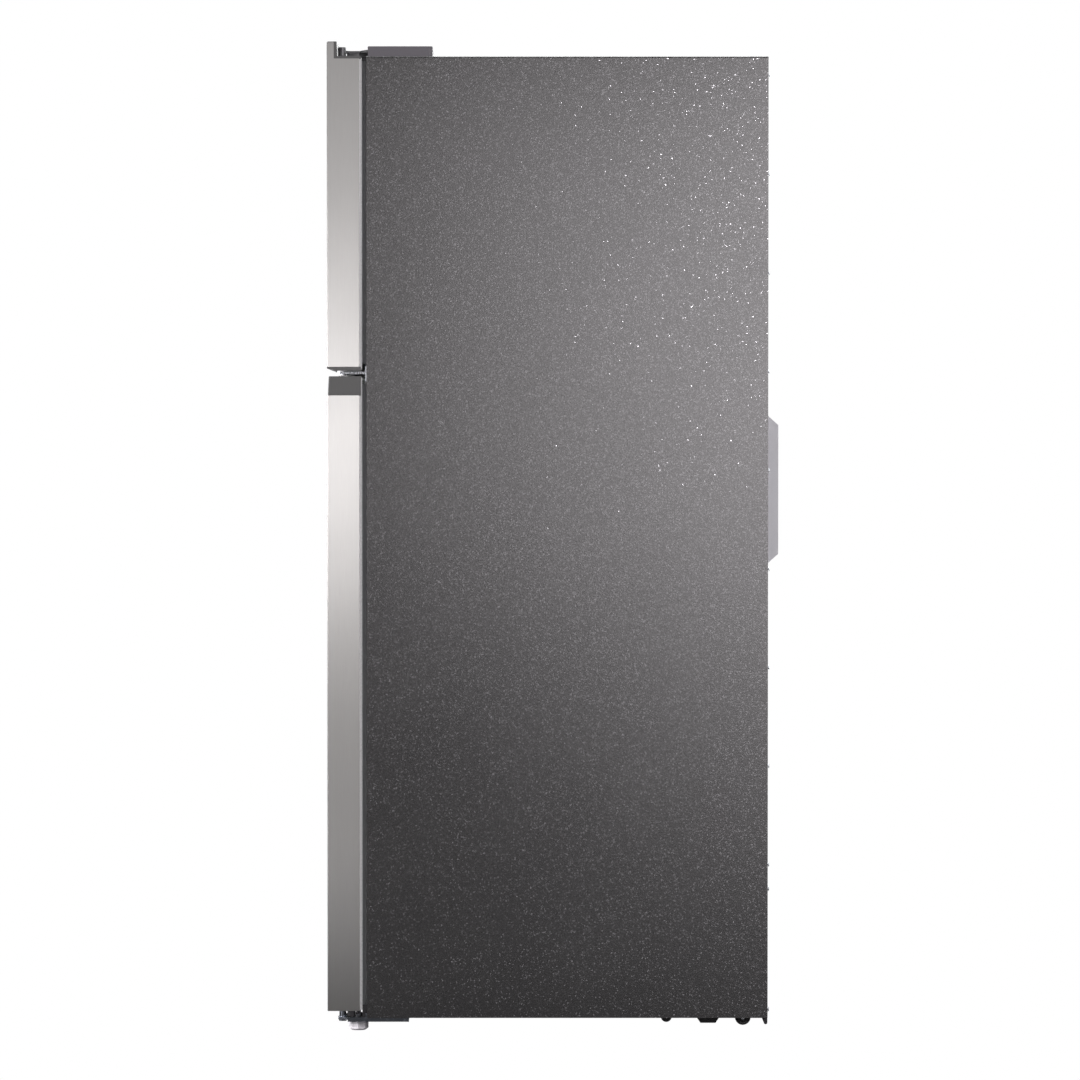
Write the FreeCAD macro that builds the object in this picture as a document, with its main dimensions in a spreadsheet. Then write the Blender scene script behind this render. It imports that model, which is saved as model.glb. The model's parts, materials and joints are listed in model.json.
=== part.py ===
import FreeCAD, Part
import math
import os
import re
import Sketcher
from FreeCAD import Placement, Rotation, Vector

# Free-standing top freezer refrigerator, in millimetres.
# +Z is up, the doors face -Y and hinge on the +X side. The origin is on the floor, under the
# middle of the whole appliance.

DIMENSIONS = {
    # Cabinet
    "cabinet_width": 755,
    "cabinet_depth": 680,
    "cabinet_top": 1655,
    "cabinet_base": 25.8,
    "door_stack": 67,
    "rear_cover_depth": 24,
    "steel": 0.8,
    "liner": 1.5,
    "trim_depth": 1.2,
    "ledge_height": 7,
    "fridge_wall": 45,
    "freezer_wall": 55,
    "fridge_back_wall": 50,
    "freezer_back_wall": 60,
    "frame_flange": 42.5,
    "fridge_floor": 100,
    "fridge_ceiling": 1084,
    "freezer_floor": 1154,
    "freezer_ceiling": 1595,
    "freezer_frame_top": 1600,
    # Compressor compartment at the lower rear
    "machine_depth": 215,
    "machine_top": 256,
    "hump_foam": 40,
    "hump_top": 300,
    "underside": 55,
    # Doors
    "skin_depth": 54.5,
    "door_liner_back": 59,
    "gasket_gap": 0.3,
    "fridge_door_bottom": 37.6,
    "fridge_skin_top": 1082.1,
    "fridge_door_top": 1114.6,
    "freezer_door_bottom": 1124,
    "freezer_skin_bottom": 1130.7,
    "freezer_skin_top": 1651.2,
    "freezer_cap_floor": 1655.5,
    "lip_skin_top": 1678.5,
    "total_height": 1680,
    "lip_skin_depth": 12.2,
    "lip_depth": 17,
    "liner_flange_inset": 8,
    "hem_inset": 10,
    "seal_inset": 22.5,
    "seal_width": 18,
    "dyke_wall": 14,
    "dyke_reach": 40,
    "bin_reach": 115,
    # Hinge line
    "pin_inset": 22,
    "pin_setback": 25,
    "knuckle_radius": 7,
    "middle_hinge_sheet": 2.2,
    # Interior
    "shelf_front_gap": 128.5,
    "glass": 4,
    "shelf_low": 560,
    "shelf_high": 810,
    "freezer_shelf_level": 1370,
    "crisper_glass_level": 306,
    "duct_depth": 24.5,
    "evaporator_space": 65,
    # Floor gear
    "deck_low": 22,
    "deck_top": 24,
    "roller_radius": 13.5,
    "roller_width": 18,
    "roller_inset": 110,
    "roller_setback": 37.1,
    "foot_radius": 16.8,
    "foot_pad_radius": 12,
    "foot_height": 18.3,
    "foot_setback": 50.8,
    "foot_side": 47.5,
}

DOC = FreeCAD.newDocument("top_freezer_refrigerator")
SHEET = DOC.addObject("Spreadsheet::Sheet", "dims")
for line, (alias, number) in enumerate(DIMENSIONS.items(), start=1):
    SHEET.set(f"A{line}", alias)
    SHEET.set(f"B{line}", str(number))
    SHEET.setAlias(f"B{line}", alias)

# Places that many pieces share, worked out from the cells above.
DERIVED = {
    "half_width": "cabinet_width / 2",
    "front": "-(door_stack + cabinet_depth + rear_cover_depth) / 2",
    "face": "(front + door_stack)",
    "rear": "(face + cabinet_depth)",
    "pin_x": "(half_width - pin_inset)",
    "pin_y": "(front + pin_setback)",
    "fridge_half": "(half_width - fridge_wall)",
    "freezer_half": "(half_width - freezer_wall)",
    "frame_half": "(half_width - frame_flange)",
    "fridge_rear": "(rear - fridge_back_wall)",
    "freezer_rear": "(rear - freezer_back_wall)",
    "machine_front": "(rear - machine_depth)",
    "hump_front": "(machine_front - hump_foam)",
    "foam_back": "(door_liner_back - liner)",
    "shelf_front": "(face + shelf_front_gap)",
    "air_front": "(fridge_rear - duct_depth)",
    "cold_front": "(freezer_rear - evaporator_space)",
    "seal_back": "(front + door_stack - gasket_gap)",
}
WORD = re.compile(r"[A-Za-z_]+")


def cell(expression):
    """A size as a spreadsheet expression, with every place spelled out in the sheet's cells."""

    def swap(match):
        word = match.group(0)
        if word in DERIVED:
            return cell(f"({DERIVED[word]})")
        return f"dims.{word}" if word in DIMENSIONS else word

    return WORD.sub(swap, str(expression))


def number(expression):
    """The value of a size in millimetres, where a feature can't be bound to the sheet itself."""
    return float(SHEET.evalExpression(cell(expression)))


def bind(obj, **sizes):
    """Ties properties of an object to the spreadsheet."""
    for prop, expression in sizes.items():
        obj.setExpression(prop, cell(expression))
    return obj


def place(obj, x=0, y=0, z=0):
    """Ties the position of an object to the spreadsheet."""
    for axis, expression in zip("xyz", (x, y, z)):
        obj.setExpression(f"Placement.Base.{axis}", cell(expression))
    return obj


def block(name, x, y, z):
    """A rectangular block between a low and a high place on each axis."""
    obj = DOC.addObject("Part::Box", name)
    bind(obj, Length=f"({x[1]}) - ({x[0]})", Width=f"({y[1]}) - ({y[0]})", Height=f"({z[1]}) - ({z[0]})")
    return place(obj, x[0], y[0], z[0])


TURNS = {
    "X": Rotation(Vector(0, 1, 0), 90),
    "Y": Rotation(Vector(1, 0, 0), -90),
    "Z": Rotation(),
}


def rod(name, axis, radius, low, high, across):
    """A round bar along an axis, from low to high; across holds its two other coordinates."""
    obj = DOC.addObject("Part::Cylinder", name)
    obj.Placement = Placement(Vector(), TURNS[axis])
    bind(obj, Radius=radius, Height=f"({high}) - ({low})")
    first, second = across
    spot = {"X": (low, first, second), "Y": (first, low, second), "Z": (first, second, low)}[axis]
    return place(obj, *spot)


def cone(name, radius_low, radius_high, low, high, across):
    """A tapered round piece standing on Z."""
    obj = DOC.addObject("Part::Cone", name)
    bind(obj, Radius1=radius_low, Radius2=radius_high, Height=f"({high}) - ({low})")
    return place(obj, across[0], across[1], low)


def join(name, *pieces):
    """Several pieces made into one."""
    obj = DOC.addObject("Part::MultiFuse", name)
    obj.Shapes = list(pieces)
    return obj


def cut(name, base, *tools):
    """A piece with others taken out of it."""
    tool = tools[0] if len(tools) == 1 else join(name + "_tools", *tools)
    obj = DOC.addObject("Part::Cut", name)
    obj.Base = base
    obj.Tool = tool
    return obj


def group(name, *pieces):
    """Separate solids kept together under one name."""
    obj = DOC.addObject("Part::Compound", name)
    obj.Links = list(pieces)
    return obj


def rounded(name, base, radius, choose):
    """Rounds the edges that choose(edge) picks."""
    DOC.recompute()
    size = number(radius)
    picked = [(i, size, size) for i, edge in enumerate(base.Shape.Edges, start=1) if choose(edge)]
    obj = DOC.addObject("Part::Fillet", name)
    obj.Base = base
    obj.Edges = picked
    return obj


def bevelled(name, base, size, choose):
    """Chamfers the edges that choose(edge) picks."""
    DOC.recompute()
    width = number(size)
    picked = [(i, width, width) for i, edge in enumerate(base.Shape.Edges, start=1) if choose(edge)]
    obj = DOC.addObject("Part::Chamfer", name)
    obj.Base = base
    obj.Edges = picked
    return obj


def runs_along(edge, axis):
    """True for a straight edge parallel to an axis."""
    box = edge.BoundBox
    spans = {"X": box.XLength, "Y": box.YLength, "Z": box.ZLength}
    return spans.pop(axis) > 0.5 and max(spans.values()) < 1e-4


def at(value, wanted, slack=0.05):
    """True when a coordinate is at a place."""
    return abs(value - number(wanted)) < slack


SKETCH_PLANES = {"Z": "XY_Plane", "X": "YZ_Plane", "Y": "XZ_Plane"}


def sketched_body(name, plane, corners):
    """A body with a closed straight-sided sketch on an origin plane, every corner tied to the sheet."""
    body = DOC.addObject("PartDesign::Body", name)
    sketch = body.newObject("Sketcher::SketchObject", name + "_outline")
    role = SKETCH_PLANES[plane]
    origin = [o for o in body.Origin.OriginFeatures if o.Role == role][0]
    sketch.AttachmentSupport = [(origin, "")]
    sketch.MapMode = "FlatFace"
    spots = [(number(a), number(b)) for a, b in corners]
    for i, start in enumerate(spots):
        end = spots[(i + 1) % len(spots)]
        sketch.addGeometry(Part.LineSegment(Vector(*start, 0), Vector(*end, 0)), False)
    for i in range(len(spots)):
        sketch.addConstraint(Sketcher.Constraint("Coincident", i, 2, (i + 1) % len(spots), 1))
    for i, (across, up) in enumerate(corners):
        for kind, expression, value in (("DistanceX", across, spots[i][0]), ("DistanceY", up, spots[i][1])):
            index = sketch.addConstraint(Sketcher.Constraint(kind, -1, 1, i, 1, value))
            sketch.setExpression(f"Constraints[{index}]", cell(expression))
    return body, sketch


def plate(name, normal, corners, low, high):
    """A padded outline. Corners are (X, Y) for normal Z, (Y, Z) for normal X and (X, Z) for normal Y."""
    body, sketch = sketched_body(name, normal, corners)
    pad = body.newObject("PartDesign::Pad", name + "_pad")
    pad.Profile = sketch
    bind(pad, Length=f"({high}) - ({low})")
    # A pad on the XZ plane grows towards -Y, so that body starts at its high side.
    start = {"Z": (0, 0, low), "X": (low, 0, 0), "Y": (0, high, 0)}[normal]
    return place(body, *start)


def turned(name, corners, across):
    """A turned piece about a vertical line; corners are (radius, height)."""
    body, sketch = sketched_body(name, "Y", corners)
    spin = body.newObject("PartDesign::Revolution", name + "_revolution")
    spin.Profile = sketch
    spin.ReferenceAxis = (sketch, ["V_Axis"])
    spin.Angle = 360
    return place(body, across[0], across[1], 0)


def piped(name, points, radius, bend):
    """A bent tube through points, with a round bend at every inner corner."""
    place_of_start = Vector(*[number(v) for v in points[0]])
    spots = [Vector(*[number(v) for v in p]) - place_of_start for p in points]
    edges = []
    start = spots[0]
    for before, corner, after in zip(spots, spots[1:], spots[2:]):
        into = (before - corner).normalize()
        out = (after - corner).normalize()
        half = into.getAngle(out) / 2
        reach = number(bend) / math.tan(half)
        first, last = corner + into * reach, corner + out * reach
        middle_way = (into + out).normalize()
        centre = corner + middle_way * (number(bend) / math.sin(half))
        middle = centre - middle_way * number(bend)
        edges.append(Part.LineSegment(start, first).toShape())
        edges.append(Part.Arc(first, middle, last).toShape())
        start = last
    edges.append(Part.LineSegment(start, spots[-1]).toShape())
    path = Part.Wire(edges)
    ring = Part.Wire(Part.Circle(spots[0], spots[1] - spots[0], number(radius)).toShape())
    obj = DOC.addObject("Part::Feature", name)
    obj.Shape = path.makePipeShell([ring], True, False)
    obj.Placement = Placement(place_of_start, Rotation())
    return obj


PARTS = []


def keep(obj, label):
    """Marks an object as a finished sub-part, written to its own file."""
    obj.Label = label
    PARTS.append(obj)
    return obj


# ---------------------------------------------------------------- cabinet


def cabinet_wrapper():
    """Painted steel sides and top, folded inwards round the front opening and under the sides."""
    outside = block("wrapper_outside", ("-half_width", "half_width"), ("face", "rear"),
                    ("cabinet_base", "cabinet_top"))
    outside_soft = rounded("wrapper_outside_soft", outside, 3, lambda e: runs_along(e, "Y")
                           and at(e.BoundBox.ZMin, "cabinet_top"))
    sides = ("-(half_width - steel)", "half_width - steel")
    hollow = block("wrapper_hollow", sides, ("face + steel", "rear + 1"),
                   ("cabinet_base + steel", "cabinet_top - steel"))
    hollow_soft = rounded("wrapper_hollow_soft", hollow, "3 - steel", lambda e: runs_along(e, "Y")
                          and at(e.BoundBox.ZMin, "cabinet_top - steel"))
    window = block("wrapper_window", ("-frame_half", "frame_half"), ("face - 1", "face + 2"),
                   ("cabinet_base - 1", "freezer_frame_top"))
    under = block("wrapper_under", ("-(fridge_half + liner)", "fridge_half + liner"),
                  ("face + steel", "rear + 1"),
                  ("cabinet_base - 1", "cabinet_base + 2"))
    keep(cut("wrapper_folded", outside_soft, hollow_soft, window, under), "cabinet_wrapper")


def insulation():
    """Foam walls, floor, divider and ceiling, as slabs that meet face to face."""
    inner = "half_width - steel"
    side = "fridge_half + liner"
    back = "rear - steel"
    start = "face + 2"
    spans = {
        "foam_right": ((side, inner), ("face + trim_depth", back),
                       ("cabinet_base + 3", "cabinet_top - steel - 3")),
        "foam_left": ((f"-({inner})", f"-({side})"), ("face + trim_depth", back),
                      ("cabinet_base + 3", "cabinet_top - steel - 3")),
        "foam_top": ((f"-({side})", side), ("face + steel", back),
                     ("freezer_frame_top", "cabinet_top - steel")),
        "foam_divider": ((f"-({side})", side), (start, back),
                         ("fridge_ceiling + liner", "freezer_floor - liner")),
        "foam_fridge_back": ((f"-({side})", side), ("fridge_rear + liner", back),
                             ("hump_top - liner", "fridge_ceiling + liner")),
        "foam_freezer_back": ((f"-({side})", side), ("freezer_rear + liner", back),
                              ("freezer_floor - liner", "freezer_frame_top")),
        "foam_freezer_right": (("freezer_half + liner", side), (start, "freezer_rear + liner"),
                               ("freezer_floor - liner", "freezer_frame_top")),
        "foam_freezer_left": ((f"-({side})", "-(freezer_half + liner)"), (start, "freezer_rear + liner"),
                              ("freezer_floor - liner", "freezer_frame_top")),
        "foam_freezer_top": (("-(freezer_half + liner)", "freezer_half + liner"),
                             (start, "freezer_rear + liner"),
                             ("freezer_ceiling + liner", "freezer_frame_top")),
        "foam_floor": ((f"-({side})", side), (start, "machine_front - 1"),
                       ("underside + 1", "fridge_floor - liner")),
        "foam_step": ((f"-({side})", side), ("hump_front + liner", "machine_front - 1"),
                      ("fridge_floor - liner", "machine_top")),
        "foam_over_step": ((f"-({side})", side), ("hump_front + liner", back),
                           ("machine_top", "hump_top - liner")),
    }
    slabs = [block(name, *sizes) for name, sizes in spans.items()]
    keep(group("insulation_slabs", *slabs), "insulation")


def liner_shell(name, half, floor, ceiling, back, radius):
    """An open-fronted plastic box with rounded inside corners."""
    outside = block(name + "_outside", (f"-({half}) - liner", f"{half} + liner"), ("face", f"{back} + liner"),
                    (f"{floor} - liner", f"{ceiling} + liner"))
    inside = block(name + "_inside", (f"-({half})", half), ("face - 5", back), (floor, ceiling))
    soft = rounded(name + "_soft", inside, radius, lambda e: runs_along(e, "Y")
                   or at(e.BoundBox.YMin, back))
    return outside, soft


def fridge_liner():
    """Fresh food liner with the step over the compressor and the ledges that carry the shelves."""
    outside, inside = liner_shell("fridge_liner", "fridge_half", "fridge_floor", "fridge_ceiling",
                                  "fridge_rear", 12)
    step_out = block("fridge_step_out", ("-(fridge_half + 2)", "fridge_half + 2"),
                     ("hump_front + liner", "rear"),
                     ("fridge_floor - 2", "hump_top - liner"))
    step_keep = block("fridge_step_keep", ("-fridge_half", "fridge_half"), ("hump_front", "rear"),
                      ("fridge_floor - 1", "hump_top"))
    cavity = cut("fridge_cavity", inside, step_keep)
    shell = cut("fridge_shell", outside, cavity, step_out)
    ledges = []
    for level in ("crisper_glass_level", "shelf_low", "shelf_high"):
        for side in (-1, 1):
            low, high = sorted((f"{side} * (fridge_half + 0.5)", f"{side} * (fridge_half - 9)"), key=number)
            ledges.append(block(f"fridge_ledge_{level}_{'left' if side < 0 else 'right'}", (low, high),
                                ("shelf_front + 6", "air_front - 12"), (f"{level} - ledge_height", level)))
    keep(join("fridge_liner_ledged", shell, *ledges), "fridge_liner")


def freezer_liner():
    """Freezer liner with its front flange and two shelf ledges."""
    outside, inside = liner_shell("freezer_liner", "freezer_half", "freezer_floor", "freezer_ceiling",
                                  "freezer_rear", 10)
    flange = block("freezer_flange", ("-frame_half", "frame_half"), ("face", "face + trim_depth"),
                   ("freezer_floor - liner", "freezer_frame_top"))
    shell = cut("freezer_shell", join("freezer_flanged", outside, flange), inside)
    ledges = []
    for side in (-1, 1):
        low, high = sorted((f"{side} * (freezer_half + 0.5)", f"{side} * (freezer_half - 9)"), key=number)
        ledges.append(block(f"freezer_ledge_{'left' if side < 0 else 'right'}", (low, high),
                            ("shelf_front + 6", "cold_front - 12"),
                            ("freezer_shelf_level - ledge_height", "freezer_shelf_level")))
    keep(join("freezer_liner_ledged", shell, *ledges), "freezer_liner")


GLAND = (-318, 62)


def cabinet_metalwork():
    """Divider rail, front base rail, folded underside, back sheet and the vented compressor cover."""
    keep(block("mullion_trim", ("-frame_half", "frame_half"), ("face", "face + trim_depth"),
               ("fridge_ceiling + liner", "freezer_floor - liner")), "mullion_trim")

    rail_face = block("rail_face", ("-frame_half", "frame_half"), ("face", "face + trim_depth"),
                      ("cabinet_base", "fridge_floor - liner"))
    rail_foot = block("rail_foot", ("-(half_width - steel)", "half_width - steel"),
                      ("face + steel", "face + 78"),
                      ("cabinet_base + steel", "cabinet_base + 2.8"))
    sheet = [("face + 1", "underside"), ("machine_front", "underside"), ("machine_front", "machine_top - 1"),
             ("rear - steel", "machine_top - 1"), ("rear - steel", "machine_top"), ("machine_front - 1",
                                                                                    "machine_top"),
             ("machine_front - 1", "underside + 1"), ("face + 1", "underside + 1")]
    under = plate("underside_sheet", "X", sheet, "-(fridge_half + liner)", "fridge_half + liner")
    keep(join("bottom_panel_shape", rail_face, rail_foot, under), "bottom_panel")

    back = block("back_sheet", ("-(half_width - steel)", "half_width - steel"), ("rear - steel", "rear"),
                 ("machine_top", "cabinet_top - steel"))
    keep(rounded("back_panel_soft", back, "3 - steel", lambda e: runs_along(e, "Y")
                 and at(e.BoundBox.ZMin, "cabinet_top - steel")), "back_panel")

    cover = block("compartment_sheet", ("-(half_width - steel)", "half_width - steel"),
                  ("rear - steel", "rear"),
                  ("cabinet_base + steel", "machine_top"))
    slots = []
    for bank, centre in enumerate((-230, 0, 230)):
        for row in range(9):
            level = 80 + 18 * row
            slots.append(block(f"vent_{bank}_{row}", (centre - 75, centre + 75), ("rear - 3", "rear + 1"),
                               (level, level + 7)))
    gland_hole = rod("gland_hole", "Y", 9, "rear - 3", "rear + 1", GLAND)
    keep(cut("compartment_cover", cover, *slots, gland_hole), "compartment_cover")


def rear_control_box():
    """Shallow chamfered cover over the electronics on the back."""
    slope = "rear_cover_depth * 0.9"
    low, high = 789.5, 1054.5
    outline = [("rear", low), ("rear + rear_cover_depth", f"{low} + {slope}"),
               ("rear + rear_cover_depth", f"{high} - {slope}"), ("rear", high)]
    outside = plate("control_cover_solid", "X", outline, -257.5, 257.5)
    inner = [("rear - 1", f"{low} + 1.5"), ("rear", f"{low} + 1.5"),
             ("rear + rear_cover_depth - 1", f"{low} + {slope} + 0.8"),
             ("rear + rear_cover_depth - 1", f"{high} - {slope} - 0.8"), ("rear", f"{high} - 1.5"),
             ("rear - 1", f"{high} - 1.5")]
    inside = plate("control_cover_hollow", "X", inner, -256.5, 256.5)
    keep(cut("control_cover", outside, inside), "control_cover")


# ---------------------------------------------------------------- compressor compartment


def base_plate():
    """Black steel plate across the lower rear, with beads, ears for the rollers and a rear skirt."""
    pan = block("base_pan", (-345, 345), ("machine_front", "rear - 1"), ("deck_low", "deck_top"))
    skirt = block("base_skirt", (-372, 372), ("rear - 6", "rear"), (14.4, "cabinet_base"))
    skirt_soft = rounded("base_skirt_soft", skirt, 2.9, lambda e: runs_along(e, "X")
                         and at(e.BoundBox.ZMax, 14.4))
    pieces, beads, holes = [pan, skirt_soft], [], []
    roller_y = "rear - roller_setback"
    for side in (-1, 1):
        tag = "left" if side < 0 else "right"
        low, high = sorted((side * 334, side * 345))
        pieces.append(block(f"base_rail_{tag}", (low, high), ("machine_front", "rear - 1"),
                            ("deck_low", "cabinet_base")))
        centre = f"{side} * (half_width - roller_inset)"
        for part, offset in (("inner", -12.5), ("outer", 12.5)):
            pieces.append(block(f"ear_{tag}_{part}", (f"{centre} + {offset} - 1.5",
                                                      f"{centre} + {offset} + 1.5"),
                                (f"{roller_y} - 9", f"{roller_y} + 9"), (6, "deck_top - 1")))
            holes.append(rod(f"ear_hole_{tag}_{part}", "X", 3, f"{centre} + {offset} - 3",
                             f"{centre} + {offset} + 3",
                             (roller_y, "roller_radius")))
        holes.append(block(f"roller_window_{tag}", (f"{centre} - 10.9", f"{centre} + 10.9"),
                           (f"{roller_y} - 17", f"{roller_y} + 17"), ("deck_low - 1", "deck_top + 1")))
        outline = [("rear - 120.5", "deck_top - 1"), ("rear - 112", 11), ("rear - 86.5", 11),
                   ("rear - 78", "deck_top - 1")]
        low, high = sorted((side * 300, side * 330))
        beads.append(plate(f"base_bead_{tag}", "X", outline, low, high))
        beads.append(rod(f"base_boss_{tag}", "X", 9.4, low, high, ("rear - 170.5", "deck_low")))
    above = block("base_above", (-340, 340), ("machine_front", "rear - 60"), ("deck_top - 0.5", 40))
    lower = cut("base_beads", join("base_beads_raw", *beads), above)
    keep(cut("base_plate_shape", join("base_plate_raw", lower, *pieces), *holes), "compressor_base_plate")


def rollers():
    """Two rear rollers on steel pins."""
    pins = []
    for side in (-1, 1):
        tag = "left" if side < 0 else "right"
        centre = f"{side} * (half_width - roller_inset)"
        across = ("rear - roller_setback", "roller_radius")
        wheel = rod(f"wheel_{tag}", "X", "roller_radius", f"{centre} - roller_width / 2",
                    f"{centre} + roller_width / 2",
                    across)
        soft = bevelled(f"wheel_soft_{tag}", wheel, 1.2, lambda e: not runs_along(e, "X"))
        bore = rod(f"wheel_bore_{tag}", "X", 3.06, f"{centre} - 20", f"{centre} + 20", across)
        keep(cut(f"roller_shape_{tag}", soft, bore), f"rear_roller_{tag}")
        pins.append(rod(f"roller_pin_{tag}", "X", 3, f"{centre} - 17", f"{centre} + 17", across))
    keep(group("roller_pin_group", *pins), "roller_pins")


COMPRESSOR = (-170, 255)


def compressor():
    """Sealed shell with its relay housing on a foot plate, and four rubber grommets."""
    x, y = COMPRESSOR
    shell = [(0, 46), (60, 46), (74, 58), (78, 74), (78, 150), (70, 178), (48, 196), (0, 202),
             (0, 199), (47, 193), (67.5, 176), (75, 149), (75, 75), (71.5, 60), (59, 49), (0, 49)]
    can = turned("compressor_can", shell, (x, y))
    foot = block("compressor_foot", (x - 105, x + 105), (y - 60, y + 60), (41, 46.5))
    holes = [rod(f"foot_hole_{i}_{j}", "Z", 6, 40, 48, (x + i * 92, y + j * 48))
             for i in (-1, 1) for j in (-1, 1)]
    stub = rod("compressor_stub", "X", 4, x + 70, x + 92, (y - 10, 150))
    relay = block("relay_block", (x - 112, x - 70), (y - 26, y + 26), (92, 152))
    relay_soft = rounded("relay_soft", relay, 4, lambda e: runs_along(e, "Z"))
    keep(join("compressor_shape", can, cut("compressor_foot_cut", foot, *holes), stub, relay_soft),
         "compressor")

    bushes = []
    for i in (-1, 1):
        for j in (-1, 1):
            spot = (x + i * 92, y + j * 48)
            lower = cone(f"grommet_low_{i}_{j}", 13, 10, "deck_top", 41, spot)
            neck = rod(f"grommet_neck_{i}_{j}", "Z", 5.9, 41, 46.5, spot)
            cap = rod(f"grommet_cap_{i}_{j}", "Z", 9, 46.5, 52, spot)
            bushes.append(join(f"grommet_{i}_{j}", lower, neck, cap))
    keep(group("grommet_group", *bushes), "compressor_grommets")


FAN_X = 40
FAN_SPOT = (250, 135)


def cooling_gear():
    """Condenser coil, its fan, the evaporation pan and the refrigerant tubes beside the compressor."""
    points, levels = [], [182 - 24 * i for i in range(6)]
    for layer, depth in enumerate((205, 245, 285)):
        for turn, level in enumerate(levels if layer % 2 == 0 else reversed(levels)):
            ends = (90, 300) if turn % 2 == 0 else (300, 90)
            points += [(ends[0], depth, level), (ends[1], depth, level)]
    keep(piped("condenser_tube", points, 3, 11.5), "condenser_coil")

    pan = block("pan_outside", (100, 325), (170, 305), ("deck_top", 50))
    keep(cut("pan_shape", rounded("pan_soft", pan, 10, lambda e: runs_along(e, "Z")),
             block("pan_inside", (103, 322), (173, 302), ("deck_top + 3", 51))), "drain_pan")

    y, z = FAN_SPOT
    ring = rod("fan_ring_out", "X", 72, FAN_X - 12, FAN_X + 12, (y, z))
    ring_hole = rod("fan_ring_in", "X", 64, FAN_X - 20, FAN_X + 20, (y, z))
    stand = block("fan_stand", (FAN_X - 12, FAN_X + 12), (y - 60, y + 60), ("deck_top", 78))
    bore = rod("fan_stand_hole", "X", 64, FAN_X - 20, FAN_X + 20, (y, z))
    hollow = cut("fan_ring", ring, ring_hole)
    arm = block("fan_motor_arm", (FAN_X + 14, FAN_X + 18), (y - 70, y + 70), (z - 6, z + 6))
    arm_foot = [block(f"fan_arm_foot_{s}", (FAN_X + 10, FAN_X + 18), (y + s * 66 - 4, y + s * 66 + 4),
                      (z - 6, z + 6))
                for s in (-1, 1)]
    motor = rod("fan_motor", "X", 22, FAN_X + 18, FAN_X + 38, (y, z))
    shaft = rod("fan_shaft", "X", 1.5, FAN_X - 8, FAN_X + 20, (y, z))
    keep(join("condenser_fan_shape", hollow, cut("fan_stand_cut", stand, bore), arm, *arm_foot, motor, shaft),
         "condenser_fan_motor")

    suction = [(-78, 245, 150), (-50, 245, 150), (-50, 245, 225), (-50, 330, 225),
               (-50, 330, "machine_top - 1")]
    discharge = [(-170, 177, 100), (-170, 162, 100), (-20, 162, 100), (-20, 162, 182), (72, 162, 182),
                 (72, 205, 182),
                 (90, 205, 182)]
    tubes = [piped("suction_tube", suction, 3.2, 12), piped("discharge_tube", discharge, 2.5, 10)]
    drier = turned("drier", [(0, 100), (3, 100), (8, 108), (8, 170), (3, 178), (0, 178)], (-20, 335))
    keep(group("refrigerant_line_group", *tubes, drier), "refrigerant_lines")


def fan_blades(name, axis, centre, hub, tip, depth, label, bore):
    """A moulded fan: a hub with flat pitched blades set round it."""
    x, y, z = centre
    axle = rod(name + "_hub", axis, hub, f"{centre['XYZ'.index(axis)]} - {depth / 2}",
               f"{centre['XYZ'.index(axis)]} + {depth / 2}", [c for i,
                                                              c in enumerate(centre) if "XYZ"[i] != axis])
    hole = rod(name + "_bore", axis, bore, f"{centre['XYZ'.index(axis)]} - {depth}",
               f"{centre['XYZ'.index(axis)]} + {depth}", [c for i,
                                                          c in enumerate(centre) if "XYZ"[i] != axis])
    spin = Vector(*(1 if "XYZ"[i] == axis else 0 for i in range(3)))
    blades = []
    count = 5
    for i in range(count):
        blade = Part.makeBox(tip - hub + 4, 1.6, depth * 1.6, Vector(hub - 4, -0.8, -depth * 0.8))
        blade.rotate(Vector(), Vector(1, 0, 0), 38)
        blade = blade.common(Part.makeCylinder(tip, depth * 0.92, Vector(0, 0, -depth * 0.46)))
        feature = DOC.addObject("Part::Feature", f"{name}_blade_{i}")
        feature.Shape = blade
        around = Rotation(Vector(0, 0, 1), 360 * i / count)
        feature.Placement = Placement(Vector(x, y, z), Rotation(Vector(0, 0, 1), spin) * around)
        blades.append(feature)
    keep(cut(name, join(name + "_solid", axle, *blades), hole), label)


# ---------------------------------------------------------------- freezer and fresh food interior


def evaporator():
    """Finned coil behind the freezer's rear panel."""
    fins = [block(f"fin_{i}", (-240 + 20 * i, -239 + 20 * i), ("cold_front + 12", "cold_front + 52"),
                  (1180, 1370))
            for i in range(25)]
    tubes = [rod(f"cold_tube_{i}_{j}", "X", 4, -255, 255, (f"cold_front + {22 + 20 * j}", 1200 + 37 * i))
             for i in range(5) for j in range(2)]
    heater = rod("defrost_heater", "X", 4, -255, 255, ("cold_front + 32", 1171))
    clips = [block(f"heater_clip_{s}", (s * 250 - 2, s * 250 + 2), ("cold_front + 22", "cold_front + 42"),
                   (1167, 1206))
             for s in (-1, 1)]
    keep(join("evaporator_shape", *fins, *tubes, heater, *clips), "evaporator")


EVAPORATOR_FAN = (0, 1490)


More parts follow.
